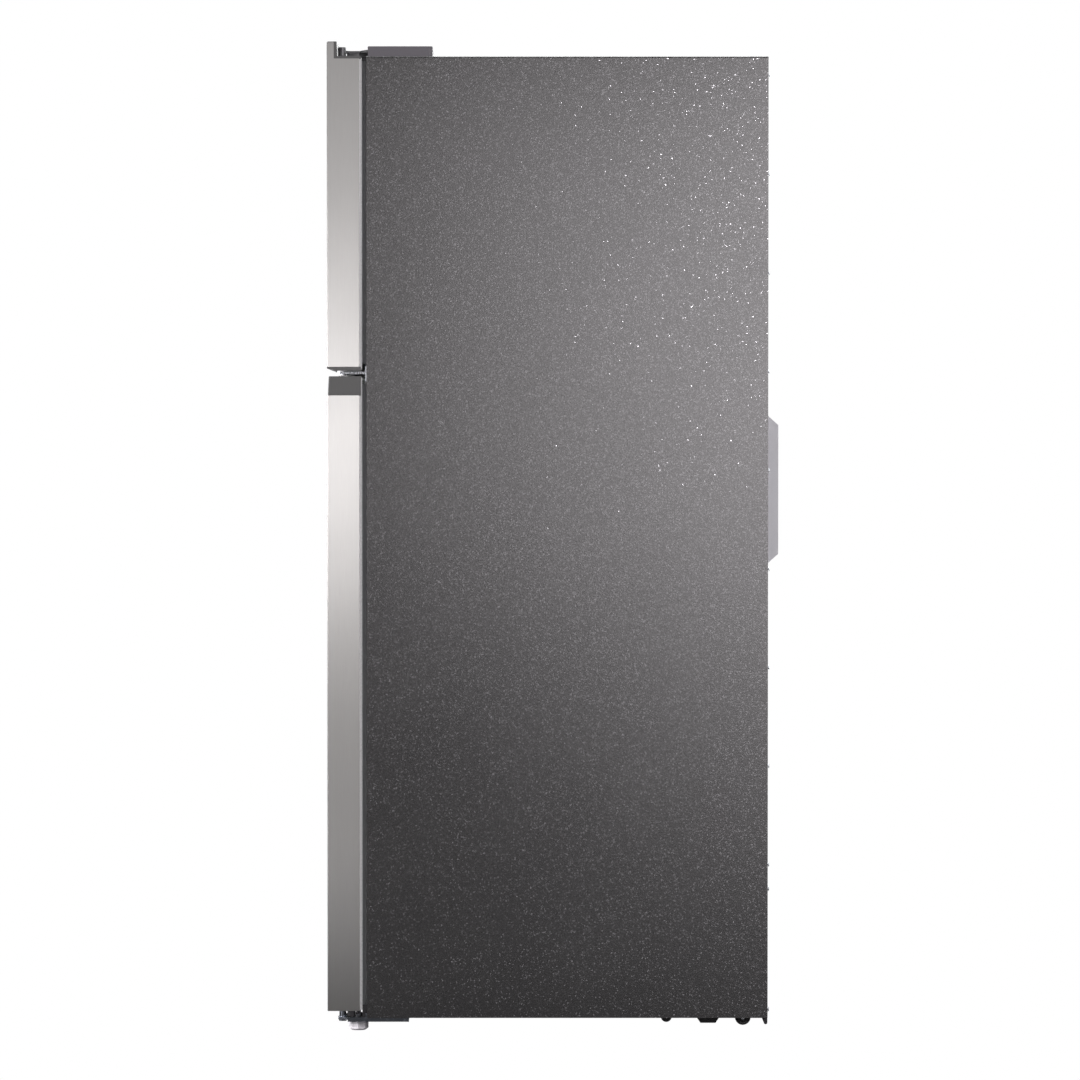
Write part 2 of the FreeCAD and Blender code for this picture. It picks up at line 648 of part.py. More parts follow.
def evaporator_cover():
    """Freezer rear panel with an outlet grille in front of the fan and return slots below."""
    sheet = block("cold_sheet", ("-freezer_half + 1", "freezer_half - 1"), ("cold_front", "cold_front + 2.5"),
                  ("freezer_floor + 11", "freezer_ceiling - 11"))
    box = block("cold_boss", (-150, 150), ("cold_front - 7", "cold_front + 1"), (1425, 1555))
    hollow = block("cold_boss_hollow", (-147, 147), ("cold_front - 4.5", "cold_front + 4"), (1428, 1552))
    slots = []
    for row in range(7):
        level = 1437 + 16 * row
        slots += [block(f"outlet_{row}_{side}", (side * 70 - 58, side * 70 + 58),
                        ("cold_front - 9", "cold_front + 4"),
                        (level, level + 7)) for side in (-1, 1)]
    for row in range(3):
        level = 1175 + 14 * row
        slots += [block(f"return_{row}_{side}", (side * 120 - 70, side * 120 + 70),
                        ("cold_front - 2", "cold_front + 4"),
                        (level, level + 6)) for side in (-1, 1)]
    spindle = rod("freezer_knob_hole", "Y", 3.06, "cold_front - 3", "cold_front + 5", (250, 1220))
    keep(cut("cold_cover", join("cold_cover_raw", sheet, box), hollow, *slots, spindle), "evaporator_cover")

    x, z = EVAPORATOR_FAN
    bridge = block("cold_bridge", (x - 150, x + 150), ("freezer_rear - 14", "freezer_rear - 10"),
                   (z - 14, z + 14))
    feet = [block(f"cold_bridge_foot_{s}", (x + s * 146 - 4, x + s * 146 + 4),
                  ("freezer_rear - 10", "freezer_rear"),
                  (z - 14, z + 14)) for s in (-1, 1)]
    motor = rod("cold_motor", "Y", 20, "freezer_rear - 30", "freezer_rear - 10", (x, z))
    shaft = rod("cold_shaft", "Y", 1.5, "freezer_rear - 50", "freezer_rear - 28", (x, z))
    keep(join("cold_fan_motor", bridge, *feet, motor, shaft), "evaporator_fan_motor")


def control_knobs():
    """Two turned temperature knobs, each with a pointer ridge and a spindle."""
    for label, x, z, radius, wall in (("fridge_control_knob", 0, 945, 22, "air_front"),
                                      ("freezer_control_knob", 250, 1220, 19, "cold_front")):
        skirt = rod(label + "_skirt", "Y", radius, f"{wall} - 5", f"{wall} - 0.5", (x, z))
        grip = rod(label + "_grip", "Y", radius - 5, f"{wall} - 14", f"{wall} - 5", (x, z))
        ridge = block(label + "_ridge", (x - 3, x + 3), (f"{wall} - 17", f"{wall} - 5"),
                      (z - radius + 6, z + radius - 1))
        spindle = rod(label + "_spindle", "Y", 3, f"{wall} - 1", f"{wall} + 6", (x, z))
        keep(join(label + "_shape", skirt, grip, ridge, spindle), label)


def air_duct():
    """Air tower on the fresh food back wall with outlets, the control panel and the lamp cover."""
    tower = block("duct_outside", (-110, 110), ("air_front", "fridge_rear"), (330, 1055))
    hollow = block("duct_inside", (-107, 107), ("air_front + 2.5", "fridge_rear + 1"), (333, 1052))
    slots = [block(f"air_slot_{i}_{side}", (side * 62 - 34, side * 62 + 34),
                   ("air_front - 1", "air_front + 4"),
                   (level, level + 6))
             for i, level in enumerate((400, 416, 620, 636, 652, 860, 876, 892)) for side in (-1, 1)]
    spindle = rod("fridge_knob_hole", "Y", 3.06, "air_front - 3", "air_front + 5", (0, 945))
    keep(cut("duct_shape", rounded("duct_soft", tower, 6, lambda e: runs_along(e, "Z")
                                   and at(e.BoundBox.YMin, "air_front")),
             hollow, *slots, spindle), "air_duct_cover")

    lens = block("lamp_block", (-70, 70), ("air_front - 8", "air_front"), (992, 1036))
    lens_soft = rounded("lamp_corners", lens, 10, lambda e: runs_along(e, "Y"))
    keep(rounded("lamp_soft", lens_soft, 2, lambda e: at(e.BoundBox.YMax, "air_front - 8")), "lamp_cover")


def glass_plate(name, half, level, back):
    """A glass plate resting on the liner's ledges."""
    return block(name, (f"-({half} - 3)", f"{half} - 3"), ("shelf_front", f"{back} - 7"),
                 (level, f"{level} + glass"))


def shelves():
    """Glass shelves and the plastic trims along their edges."""
    plates = [glass_plate(f"glass_{level}", "fridge_half", level, "air_front")
              for level in ("crisper_glass_level", "shelf_low", "shelf_high")]
    keep(group("fridge_glass_group", *plates), "fridge_glass_shelves")
    keep(glass_plate("freezer_glass", "freezer_half", "freezer_shelf_level", "cold_front"), "freezer_shelf")
    trims = []
    for tag, half, level, back in (("low", "fridge_half", "shelf_low", "air_front"),
                                   ("high", "fridge_half", "shelf_high", "air_front"),
                                   ("cold", "freezer_half", "freezer_shelf_level", "cold_front")):
        span = (f"-({half} - 3.2)", f"{half} - 3.2")
        slot_span = (f"-({half} - 2)", f"{half} - 2")
        rail = block(f"trim_front_{tag}", span, ("shelf_front - 6", "shelf_front + 5.5"),
                     (f"{level} - 9", f"{level} + 7"))
        slot = block(f"trim_front_slot_{tag}", slot_span, ("shelf_front", "shelf_front + 9"),
                     (level, f"{level} + glass"))
        trims.append(cut(f"trim_front_cut_{tag}", rail, slot))
        rail = block(f"trim_back_{tag}", span, (f"{back} - 11", f"{back} - 4"),
                     (f"{level} - 3", f"{level} + 18"))
        slot = block(f"trim_back_slot_{tag}", slot_span, (f"{back} - 12", f"{back} - 7"),
                     (level, f"{level} + glass"))
        trims.append(cut(f"trim_back_cut_{tag}", rail, slot))
    keep(group("shelf_trim_group", *trims), "shelf_trims")


CRISPER_SIDE = 309


def crisper_bay():
    """Frame and centre rail under the lowest glass plate, and the two drawers."""
    nose = block("crisper_nose", ("-(fridge_half - 3.2)", "fridge_half - 3.2"),
                 ("shelf_front - 6", "shelf_front + 5.5"),
                 ("crisper_glass_level - 5", "crisper_glass_level + 7"))
    nose_slot = block("crisper_nose_slot", ("-(fridge_half - 2)", "fridge_half - 2"),
                      ("shelf_front", "shelf_front + 9"),
                      ("crisper_glass_level", "crisper_glass_level + glass"))
    post = block("crisper_post", (-3.5, 3.5), ("shelf_front + 2", "hump_front - 3"),
                 ("fridge_floor", "crisper_glass_level"))
    keep(join("crisper_frame", cut("crisper_nose_cut", nose, nose_slot), post), "crisper_frame")

    front, back = "shelf_front + 12", "hump_front - 6"
    for side in (-1, 1):
        tag = "left" if side < 0 else "right"
        low, high = (6, CRISPER_SIDE) if side > 0 else (-CRISPER_SIDE, -6)
        tub = block(f"crisper_outside_{tag}", (low, high), (front, back), ("fridge_floor + 0.8", 298))
        tub_soft = rounded(f"crisper_soft_{tag}", tub, 8, lambda e: runs_along(e, "Z")
                           or (runs_along(e, "X") or runs_along(e, "Y")) and at(e.BoundBox.ZMax,
                                                                                "fridge_floor + 0.8"))
        hollow = block(f"crisper_inside_{tag}", (low + 2.5, high - 2.5), (f"{front} + 3", f"{back} - 2.5"),
                       ("fridge_floor + 3.3", 300))
        hollow_soft = rounded(f"crisper_hollow_{tag}", hollow, 6, lambda e: runs_along(e, "Z")
                              or at(e.BoundBox.ZMax, "fridge_floor + 3.3"))
        grip = block(f"crisper_grip_{tag}", (low + 70, high - 70), (f"{front} - 9", f"{front} + 1"),
                     (262, 290))
        scoop = block(f"crisper_scoop_{tag}", (low + 73, high - 73), (f"{front} - 6.5", f"{front} + 0.1"),
                      (258, 287))
        keep(join(f"crisper_shape_{tag}", cut(f"crisper_tub_{tag}", tub_soft, hollow_soft),
                  cut(f"crisper_handle_{tag}", grip, scoop)), f"crisper_{tag}")


# ---------------------------------------------------------------- doors


def seal(name, low, high):
    """Magnetic door gasket as a closed frame."""
    outer = "half_width - seal_inset"
    inner = "half_width - seal_inset - seal_width"
    depth = ("front + door_liner_back", "seal_back")
    ring = block(name + "_outside", (f"-({outer})", outer), depth, (low, high))
    hole = block(name + "_inside", (f"-({inner})", inner), ("front + door_liner_back - 1", "seal_back + 1"),
                 (f"{low} + seal_width", f"{high} - seal_width"))
    keep(cut(name + "_shape", ring, hole), name)


def door_liner(name, half, low, high, rim, dyke_low, dyke_high):
    """Inner door pan: a flange with side rims round the foam and a raised dyke that holds the bins."""
    flange = block(name + "_flange", ("-(half_width - liner_flange_inset)",
                                      "half_width - liner_flange_inset"),
                   ("front + foam_back", "front + door_liner_back"), (low, high))
    rims = []
    for side in (-1, 1):
        span = sorted((f"{side} * (half_width - liner_flange_inset)",
                       f"{side} * (half_width - liner_flange_inset - liner)"),
                      key=number)
        rims.append(block(f"{name}_rim_{'left' if side < 0 else 'right'}", span,
                          ("front + skin_depth", "front + door_liner_back"), rim))
    outside = block(name + "_dyke_out", (f"-({half})", half), ("front + foam_back", "face + dyke_reach"),
                    (dyke_low, dyke_high))
    soft = rounded(name + "_dyke_soft", outside, 10, lambda e: runs_along(e, "Y")
                   or at(e.BoundBox.YMin, "face + dyke_reach"))
    inside = block(name + "_dyke_in", (f"-({half} - dyke_wall)", f"{half} - dyke_wall"),
                   ("front + door_liner_back", "face + dyke_reach + 5"), (f"{dyke_low} + dyke_wall",
                                                                          f"{dyke_high} - dyke_wall"))
    inside_soft = rounded(name + "_pan_soft", inside, 8, lambda e: runs_along(e, "Y"))
    keep(cut(name + "_shape", join(name + "_joined", flange, soft, *rims), inside_soft), name)


def door_bin(name, half, low, tall):
    """Balcony bin with a raised front wall that hooks between the dyke walls."""
    depth = ("front + door_liner_back + 0.4", "face + bin_reach")
    tub = block(name + "_outside", (f"-({half})", half), depth, (low, low + tall))
    tub_soft = rounded(name + "_soft", tub, 9, lambda e: runs_along(e, "Z")
                       and at(e.BoundBox.YMin, "face + bin_reach")
                       or runs_along(e, "X") and at(e.BoundBox.ZMax, low) and at(e.BoundBox.YMin,
                                                                                 "face + bin_reach"))
    hollow = block(name + "_inside", (f"-({half} - 2.5)", f"{half} - 2.5"),
                   ("front + door_liner_back + 3", "face + bin_reach - 2.5"), (low + 2.5, low + tall + 2))
    hollow_soft = rounded(name + "_hollow", hollow, 7, lambda e: runs_along(e, "Z")
                          and at(e.BoundBox.YMin, "face + bin_reach - 2.5"))
    notch = block(name + "_back_notch", (f"-({half} - 30)", f"{half} - 30"),
                  ("front + door_liner_back - 1", "front + door_liner_back + 5"), (low + tall * 0.45,
                                                                                   low + tall + 2))
    return cut(name, tub_soft, hollow_soft, notch)


def folded_skin(name, low, high):
    """Front sheet with both sides folded back and hemmed inwards."""
    outside = block(name + "_outside", ("-half_width", "half_width"), ("front", "front + skin_depth"),
                    (low, high))
    bent = rounded(name + "_bent", outside, 2.5, lambda e: runs_along(e, "Z")
                   and at(e.BoundBox.YMin, "front"))
    hollow = block(name + "_hollow", ("-(half_width - steel)", "half_width - steel"),
                   ("front + steel", "front + skin_depth - steel"), (f"{low} - 1", f"{high} + 1"))
    hollow_bent = rounded(name + "_hollow_bent", hollow, 1.7,
                          lambda e: runs_along(e, "Z") and at(e.BoundBox.YMin, "front + steel"))
    window = block(name + "_window", ("-(half_width - hem_inset)", "half_width - hem_inset"),
                   ("front + skin_depth - 2", "front + skin_depth + 1"), (f"{low} - 1", f"{high} + 1"))
    return bent, hollow_bent, window


def door_foam(name, low, high, *holes):
    """Foam core that fills the folded skin up to the inner pan."""
    core = block(name + "_core", ("-(half_width - steel)", "half_width - steel"),
                 ("front + steel", "front + skin_depth - steel"), (low, high))
    core_bent = rounded(name + "_core_bent", core, 1.7, lambda e: runs_along(e, "Z")
                        and at(e.BoundBox.YMin, "front + steel"))
    back = block(name + "_back", ("-(half_width - hem_inset)", "half_width - hem_inset"),
                 ("front + skin_depth - steel - 1", "front + foam_back"), (low, high))
    keep(cut(name + "_shape", join(name + "_joined", core_bent, back), *holes), name)


GRIP = (-340, 200)
GRIP_DEPTH = ("front + 16", "front + 42")


def hinge_bush(name, radius, bore, low, high, flange=None):
    """Plastic bush round a hinge pin."""
    parts = [rod(name + "_tube", "Z", radius, low, high, ("pin_x", "pin_y"))]
    if flange:
        parts.append(rod(name + "_flange", "Z", flange[0], flange[1], flange[2], ("pin_x", "pin_y")))
    solid = join(name + "_solid", *parts) if flange else parts[0]
    return cut(name, solid, rod(name + "_bore", "Z", bore, f"{low} - 5", f"{high} + 5", ("pin_x", "pin_y")))


def freezer_door():
    """Upper door: skin with a raised front lip, caps, foam, pan, gasket, bins and bushes."""
    bent, hollow, window = folded_skin("freezer_skin", "freezer_skin_bottom", "lip_skin_top")
    notch = block("freezer_skin_notch", ("-half_width - 1", "half_width + 1"),
                  ("front + lip_skin_depth", "front + 60"),
                  ("freezer_skin_top", "total_height"))
    keep(cut("freezer_skin", bent, hollow, window, notch), "freezer_door_skin")

    pin_hole = rod("freezer_top_hole", "Z", 8, 1630, 1660, ("pin_x", "pin_y"))
    deck = block("cap_deck", ("-half_width", "half_width"), ("front + lip_depth", "front + foam_back"),
                 ("freezer_skin_top", "freezer_cap_floor"))
    core = block("cap_lip_core", ("-(half_width - steel)", "half_width - steel"),
                 ("front + steel", "front + lip_depth"),
                 ("freezer_skin_top", "lip_skin_top"))
    core_bent = rounded("cap_lip_core_bent", core, 1.7, lambda e: runs_along(e, "Z")
                        and at(e.BoundBox.YMin, "front + steel"))
    wall = block("cap_lip_wall", ("-half_width", "half_width"),
                 ("front + lip_skin_depth", "front + lip_depth"),
                 ("freezer_skin_top", "total_height"))
    ridge = block("cap_lip_ridge", ("-(half_width - 1.5)", "half_width - 1.5"),
                  ("front + 1.5", "front + lip_depth"),
                  ("lip_skin_top", "total_height"))
    keep(cut("freezer_cap", join("freezer_cap_raw", deck, core_bent, wall, ridge), pin_hole),
         "freezer_door_top_cap")

    slope = [("front", "freezer_skin_bottom"), ("front", "freezer_door_bottom + 4.4"),
             ("front + 0.6", "freezer_door_bottom + 3.4"), ("front + 2", "freezer_door_bottom + 2.9"),
             ("front + 15", "freezer_door_bottom"), ("front + foam_back", "freezer_door_bottom"),
             ("front + foam_back", "freezer_skin_bottom")]
    base = plate("freezer_sill", "X", slope, "-half_width", "half_width")
    plug = block("freezer_sill_plug", ("-(half_width - hem_inset)", "half_width - hem_inset"),
                 ("front + 6", "front + foam_back"),
                 ("freezer_skin_bottom - 1", 1148))
    grip = block("freezer_grip", GRIP, GRIP_DEPTH, ("freezer_door_bottom - 1", 1144))
    grip_soft = rounded("freezer_grip_soft", grip, 9, lambda e: not runs_along(e, "Z")
                        and at(e.BoundBox.ZMin, 1144))
    lower_hole = rod("freezer_low_hole", "Z", 8, 1120, 1150, ("pin_x", "pin_y"))
    keep(cut("freezer_sill_cut", join("freezer_sill_raw", base, plug), grip_soft, lower_hole),
         "freezer_door_bottom_cap")

    plug_space = block("freezer_plug_space", ("-(half_width - hem_inset)", "half_width - hem_inset"),
                       ("front + 6", "front + 60"),
                       ("freezer_skin_bottom - 1", 1148))
    foam_hole = rod("freezer_foam_hole", "Z", 8, 1625, 1660, ("pin_x", "pin_y"))
    door_foam("freezer_door_foam", "freezer_skin_bottom", "freezer_skin_top", plug_space, foam_hole)

    door_liner("freezer_door_liner", "freezer_half - 11.5", "freezer_door_bottom + 2", "freezer_skin_top + 2",
               ("freezer_skin_bottom", "freezer_skin_top"), 1164, 1585)
    seal("freezer_door_gasket", 1134, 1648)
    inner = "freezer_half - 11.5 - dyke_wall - 2"
    keep(group("freezer_bins", door_bin("freezer_bin_low", inner, 1186, 95),
               door_bin("freezer_bin_high", inner, 1400, 85)), "freezer_door_bins")
    keep(group("freezer_bush_group",
               hinge_bush("freezer_bush_top", 8, 5.06, 1630, "freezer_cap_floor"),
               hinge_bush("freezer_bush_low", 8, 4.56, "freezer_door_bottom", 1148,
                          (9, "freezer_door_bottom - 1.1", "freezer_door_bottom"))), "freezer_door_bushes")


def fridge_door():
    """Lower door: skin, moulded grip cap on top, bottom cap, foam, pan, gasket, bins, bushes and closer."""
    bent, hollow, window = folded_skin("fridge_skin", "fridge_door_bottom", "fridge_skin_top")
    keep(cut("fridge_skin", bent, hollow, window), "fridge_door_skin")

    profile = [("front + 1.5", "fridge_skin_top"), ("front + foam_back", "fridge_skin_top"),
               ("front + foam_back", "fridge_door_top"), ("front + 3", "fridge_door_top")]
    cap = plate("fridge_cap_profile", "X", profile, "-half_width", "half_width")
    cap_soft = rounded("fridge_cap_soft", cap, 2, lambda e: runs_along(e, "X")
                       and at(e.BoundBox.YMin, "front + 3")
                       or at(e.BoundBox.XMax - e.BoundBox.XMin, 0) and e.BoundBox.YMax < number("front") + 4)
    well = block("fridge_grip_well", GRIP, GRIP_DEPTH, (1088, "fridge_door_top + 1"))
    well_soft = rounded("fridge_grip_well_soft", well, 9, lambda e: not runs_along(e, "Z")
                        and at(e.BoundBox.ZMax, 1088))
    dip = block("fridge_grip_dip", GRIP, ("front - 1", "front + 20"), (1097, "fridge_door_top + 1"))
    dip_soft = rounded("fridge_grip_dip_soft", dip, 10, lambda e: runs_along(e, "Y")
                       and at(e.BoundBox.ZMin, 1097))
    bush_hole = rod("fridge_top_hole", "Z", 6.3, 1090, 1120, ("pin_x", "pin_y"))
    keep(cut("fridge_cap", cap_soft, well_soft, dip_soft, bush_hole), "fridge_door_top_cap")

    low_hole = rod("fridge_low_hole", "Z", 8, 30, 70, ("pin_x", "pin_y"))
    sole = block("fridge_sole", ("-(half_width - steel)", "half_width - steel"),
                 ("front + steel", "front + skin_depth - steel"),
                 ("fridge_door_bottom + 0.5", "fridge_door_bottom + 10"))
    sole_bent = rounded("fridge_sole_bent", sole, 1.7, lambda e: runs_along(e, "Z")
                        and at(e.BoundBox.YMin, "front + steel"))
    heel = block("fridge_heel", ("-(half_width - hem_inset)", "half_width - hem_inset"),
                 ("front + skin_depth - steel - 1", "front + foam_back"),
                 ("fridge_door_bottom + 0.5", "fridge_door_bottom + 10"))
    keep(cut("fridge_sole_cut", join("fridge_sole_raw", sole_bent, heel), low_hole), "fridge_door_bottom_cap")

    door_foam("fridge_door_foam", "fridge_door_bottom + 10", "fridge_skin_top",
              rod("fridge_foam_hole", "Z", 8, 40, 62, ("pin_x", "pin_y")))
    door_liner("fridge_door_liner", "fridge_half - 12.5", "fridge_door_bottom + 1", "fridge_door_top - 2",
               ("fridge_door_bottom + 1", "fridge_skin_top"), 112, 1072)
    seal("fridge_door_gasket", 48, 1104)
    inner = "fridge_half - 12.5 - dyke_wall - 2"
    bins = [door_bin(f"fridge_bin_{tag}", inner, low, tall)
            for tag, low, tall in (("lower", 140, 135), ("middle", 480, 100), ("upper", 790, 90))]
    keep(group("fridge_bins", *bins), "fridge_door_bins")
    keep(group("fridge_bush_group",
               hinge_bush("fridge_bush_top", 6.3, 4.56, 1090, 1117.8),
               hinge_bush("fridge_bush_low", 8, 5.06, "fridge_door_bottom + 0.5", 62)), "fridge_door_bushes")

    cam = block("closer_cam", ("pin_x - 12", "pin_x + 18"), ("pin_y + 8.5", "pin_y + 21.5"),
                (28.5, "fridge_door_bottom + 0.5"))
    tip = rod("closer_screw", "Z", 2.2, 30.5, "fridge_door_bottom + 0.5", ("pin_x + 10", "pin_y + 25.2"))
    strap = block("closer_strap", ("pin_x - 8", "pin_x + 14"), ("pin_y + 15", "pin_y + 29"),
                  ("fridge_door_bottom - 1", "fridge_door_bottom + 0.5"))
    keep(join("closer_shape", rounded("closer_soft", cam, 4, lambda e: runs_along(e, "Z")), strap, tip),
         "door_closer")


# ---------------------------------------------------------------- hinges, covers, feet

HINGE_HOLES = {"top": ((300, -285), (300, -240), (350, -262)),
               "bottom": ((318, -290), (318, -262), (352, -275))}


def top_hinge():
    """Bolted plate on the cabinet top with a goose-necked arm, knuckle and pin for the upper door."""
    base = plate("top_hinge_base", "Z", [(285, -301), (368, -301), (368, -222), (285, -222)],
                 "cabinet_top", "cabinet_top + 4")
    riser = block("top_hinge_riser", (330, 368), (-304, -300), ("cabinet_top", "cabinet_top + 11.5"))
    neck = [("pin_x - 20", -300), ("pin_x + 12.5", -300), ("pin_x + 12.5", -320),
            ("pin_x - 6.5", "pin_y + 30"),
            ("pin_x - 6.5", "pin_y + 12"), ("pin_x + 2", "pin_y + 2"), ("pin_x - 3",
                                                                        "pin_y - 6"), ("pin_x - 9",
                                                                                       "pin_y - 2"),
            ("pin_x - 22", "pin_y + 22")]
    arm = plate("top_hinge_arm", "Z", neck, "cabinet_top + 7.5", "cabinet_top + 11.5")
    rib = block("top_hinge_rib", ("pin_x - 22", "pin_x - 19.5"), ("pin_y + 24", -300),
                ("cabinet_top + 1.5", "cabinet_top + 8"))
    tab = block("top_hinge_tab", ("pin_x - 8", "pin_x - 6.6"), ("pin_y + 13", "pin_y + 15.5"),
                ("cabinet_top + 1.5", "cabinet_top + 11.5"))
    knuckle = rod("top_hinge_knuckle", "Z", "knuckle_radius", "freezer_cap_floor + 0.6",
                  "cabinet_top + 17", ("pin_x", "pin_y"))
    knuckle_soft = rounded("top_hinge_knuckle_soft", knuckle, 1.5,
                           lambda e: at(e.BoundBox.ZMin, "cabinet_top + 17"))
    pin = rod("top_hinge_pin", "Z", 5, 1634, "cabinet_top + 10", ("pin_x", "pin_y"))
    holes = [rod(f"top_hinge_hole_{i}", "Z", 3, "cabinet_top - 1", "cabinet_top + 6", spot)
             for i, spot in enumerate(HINGE_HOLES["top"])]
    keep(cut("top_hinge_cut", join("top_hinge_shape", base, riser, arm, rib, tab, knuckle_soft, pin),
             *holes), "top_hinge")

    box = block("hinge_cover_box", (280, 375), ("face + 2.5", "face + 112.5"),
                ("cabinet_top", "cabinet_top + 17.3"))
    box_soft = rounded("hinge_cover_soft", box, 6, lambda e: runs_along(e, "Z") and e.BoundBox.YMin > -250)
    box_top = rounded("hinge_cover_top", box_soft, 2, lambda e: at(e.BoundBox.ZMin, "cabinet_top + 17.3"))
    hollow = block("hinge_cover_hollow", (282, 373), ("face - 5", "face + 110"),
                   ("cabinet_top - 1", "cabinet_top + 15.3"))
    keep(cut("hinge_cover_shape", box_top, hollow), "top_hinge_cover")


def middle_hinge():
    """Angle bracket on the divider with a pin up into the upper door and a pin down into the lower door."""
    wall = block("middle_hinge_wall", (318, 371), ("face - middle_hinge_sheet", "face"), (1106, 1132))
    tongue = [(330, "face - 1"), (371, "face - 1"), ("pin_x + 9", "pin_y - 4"), ("pin_x + 4", "pin_y - 8"),
              ("pin_x - 4", "pin_y - 8"), ("pin_x - 9", "pin_y - 4")]
    arm = plate("middle_hinge_arm", "Z", tongue, 1118.4, 1122.4)
    upper = rod("middle_hinge_upper_pin", "Z", 4.5, 1121, 1146, ("pin_x", "pin_y"))
    lower = rod("middle_hinge_lower_pin", "Z", 4.5, 1094, 1120, ("pin_x", "pin_y"))
    holes = [rod(f"middle_hinge_hole_{x}", "Y", 2.5, "face - 5", "face + 1", (x, z)) for x,
             z in MIDDLE_SCREWS]
    keep(cut("middle_hinge_cut", join("middle_hinge_shape", wall, arm, upper, lower), *holes), "middle_hinge")


MIDDLE_SCREWS = ((325, 1112), (325, 1126))


def bottom_bracket(name, side, with_pin):
    """Plate under a front corner with an upstand, a rolled outer edge and a tapped hole for the foot."""
    low, high = sorted((300 * side, 370 * side))
    nose = "pin_y - 7.5" if with_pin else "front + foot_setback - 22"
    deck = [(low, "face + 71"), (high, "face + 71"), (high, "front + 34"), ("pin_x + 6", nose),
            ("pin_x - 6", nose),
            (low + 12, "front + 30"), (low, "face - 14")]
    if side < 0:
        deck = [(low, "face + 71"), (high, "face + 71"), (high, "face - 14"), (high - 25, nose), (low, nose)]
    plane = plate(name + "_deck", "Z", deck, "cabinet_base - 4", "cabinet_base")
    edge = (366, 370) if side > 0 else (-370, -366)
    lip = block(name + "_lip", edge, ("front + 34", "face + 71"), ("foot_height", "cabinet_base"))
    stand = block(name + "_upstand", (low, high), ("face - 3", "face"), ("cabinet_base - 4", 33))
    foot_hole = rod(name + "_foot_hole", "Z", 4.06, 15, 30, (side * number("half_width - foot_side"),
                                                             "front + foot_setback"))
    holes = [rod(f"{name}_hole_{i}", "Z", 2.5, 20, 27, (side * x, y)) for i,
             (x, y) in enumerate(HINGE_HOLES["bottom"])]
    pieces = [plane, lip, stand]
    if with_pin:
        pieces.append(rod(name + "_pin", "Z", 5, 22, 60, ("pin_x", "pin_y")))
        pieces.append(rod(name + "_collar", "Z", 5.9, "cabinet_base - 1", 34, ("pin_x", "pin_y")))
        pieces.append(rod(name + "_rivet", "Z", 6.6, "foot_height + 0.3", "cabinet_base - 3",
                          ("pin_x", "pin_y")))
    return cut(name + "_shape", join(name + "_raw", *pieces), foot_hole, *holes)


def screws():
    """Hexagon flange screws for the three hinges and the left bracket."""
    heads = []
    for i, (x, y) in enumerate(HINGE_HOLES["top"]):
        heads.append(join(f"top_screw_{i}",
                          rod(f"top_screw_head_{i}", "Z", 6, "cabinet_top + 4", "cabinet_top + 8.5", (x, y)),
                          rod(f"top_screw_shank_{i}", "Z", 2.9, "cabinet_top", "cabinet_top + 5", (x, y))))
    for i, (x, z) in enumerate(MIDDLE_SCREWS):
        heads.append(join(f"middle_screw_{i}",
                          rod(f"middle_screw_head_{i}", "Y", 5, "face - middle_hinge_sheet - 2",
                              "face - middle_hinge_sheet", (x, z)),
                          rod(f"middle_screw_shank_{i}", "Y", 2.4, "face - middle_hinge_sheet - 1", "face",
                              (x, z))))
    for side in (-1, 1):
        for i, (x, y) in enumerate(HINGE_HOLES["bottom"]):
            heads.append(join(f"base_screw_{side}_{i}",
                              rod(f"base_screw_head_{side}_{i}", "Z", 5.5, "cabinet_base - 7.5",
                                  "cabinet_base - 4",
                                  (side * x, y)),
                              rod(f"base_screw_shank_{side}_{i}", "Z", 2.4, "cabinet_base - 5",
                                  "cabinet_base",
                                  (side * x, y))))
    keep(group("screw_group", *heads), "hinge_screws")


def levelling_foot(tag, side):
    """Eight-sided levelling foot with a bevelled sole, on a steel stud."""
    centre = (side * number("half_width - foot_side"), "front + foot_setback")
    turn = [math.radians(45 * i) for i in range(8)]
    outline = [(f"{centre[0]} + foot_radius * {math.cos(a):.9f}",
                f"{centre[1]} + foot_radius * {math.sin(a):.9f}") for a in turn]
    octagon = plate(f"foot_octagon_{tag}", "Z", outline, 0, "foot_height")
    bevel = cone(f"foot_bevel_{tag}", "foot_pad_radius", "foot_pad_radius + 1.4 * 22", 0, 22, centre)
    pad = DOC.addObject("Part::Common", f"foot_common_{tag}")
    pad.Base = octagon
    pad.Tool = bevel
    collar = rod(f"foot_collar_{tag}", "Z", 7, "foot_height - 1", "cabinet_base - 4.1", centre)
    stud = rod(f"foot_stud_{tag}", "Z", 4, "foot_height - 4", 34.5, centre)
    keep(join(f"foot_shape_{tag}", pad, collar, stud), f"levelling_foot_{tag}")


def cord_gland():
    """Rubber gland in the compressor cover, where a supply cord would leave."""
    bush = rod("gland_bush", "Y", 8.9, "rear - 3", "rear + 2", GLAND)
    collar = rod("gland_collar", "Y", 13, "rear", "rear + 5", GLAND)
    bore = rod("gland_bore", "Y", 4, "rear - 5", "rear + 8", GLAND)
    keep(cut("gland_shape", join("gland_solid", bush, collar), bore), "cord_gland")


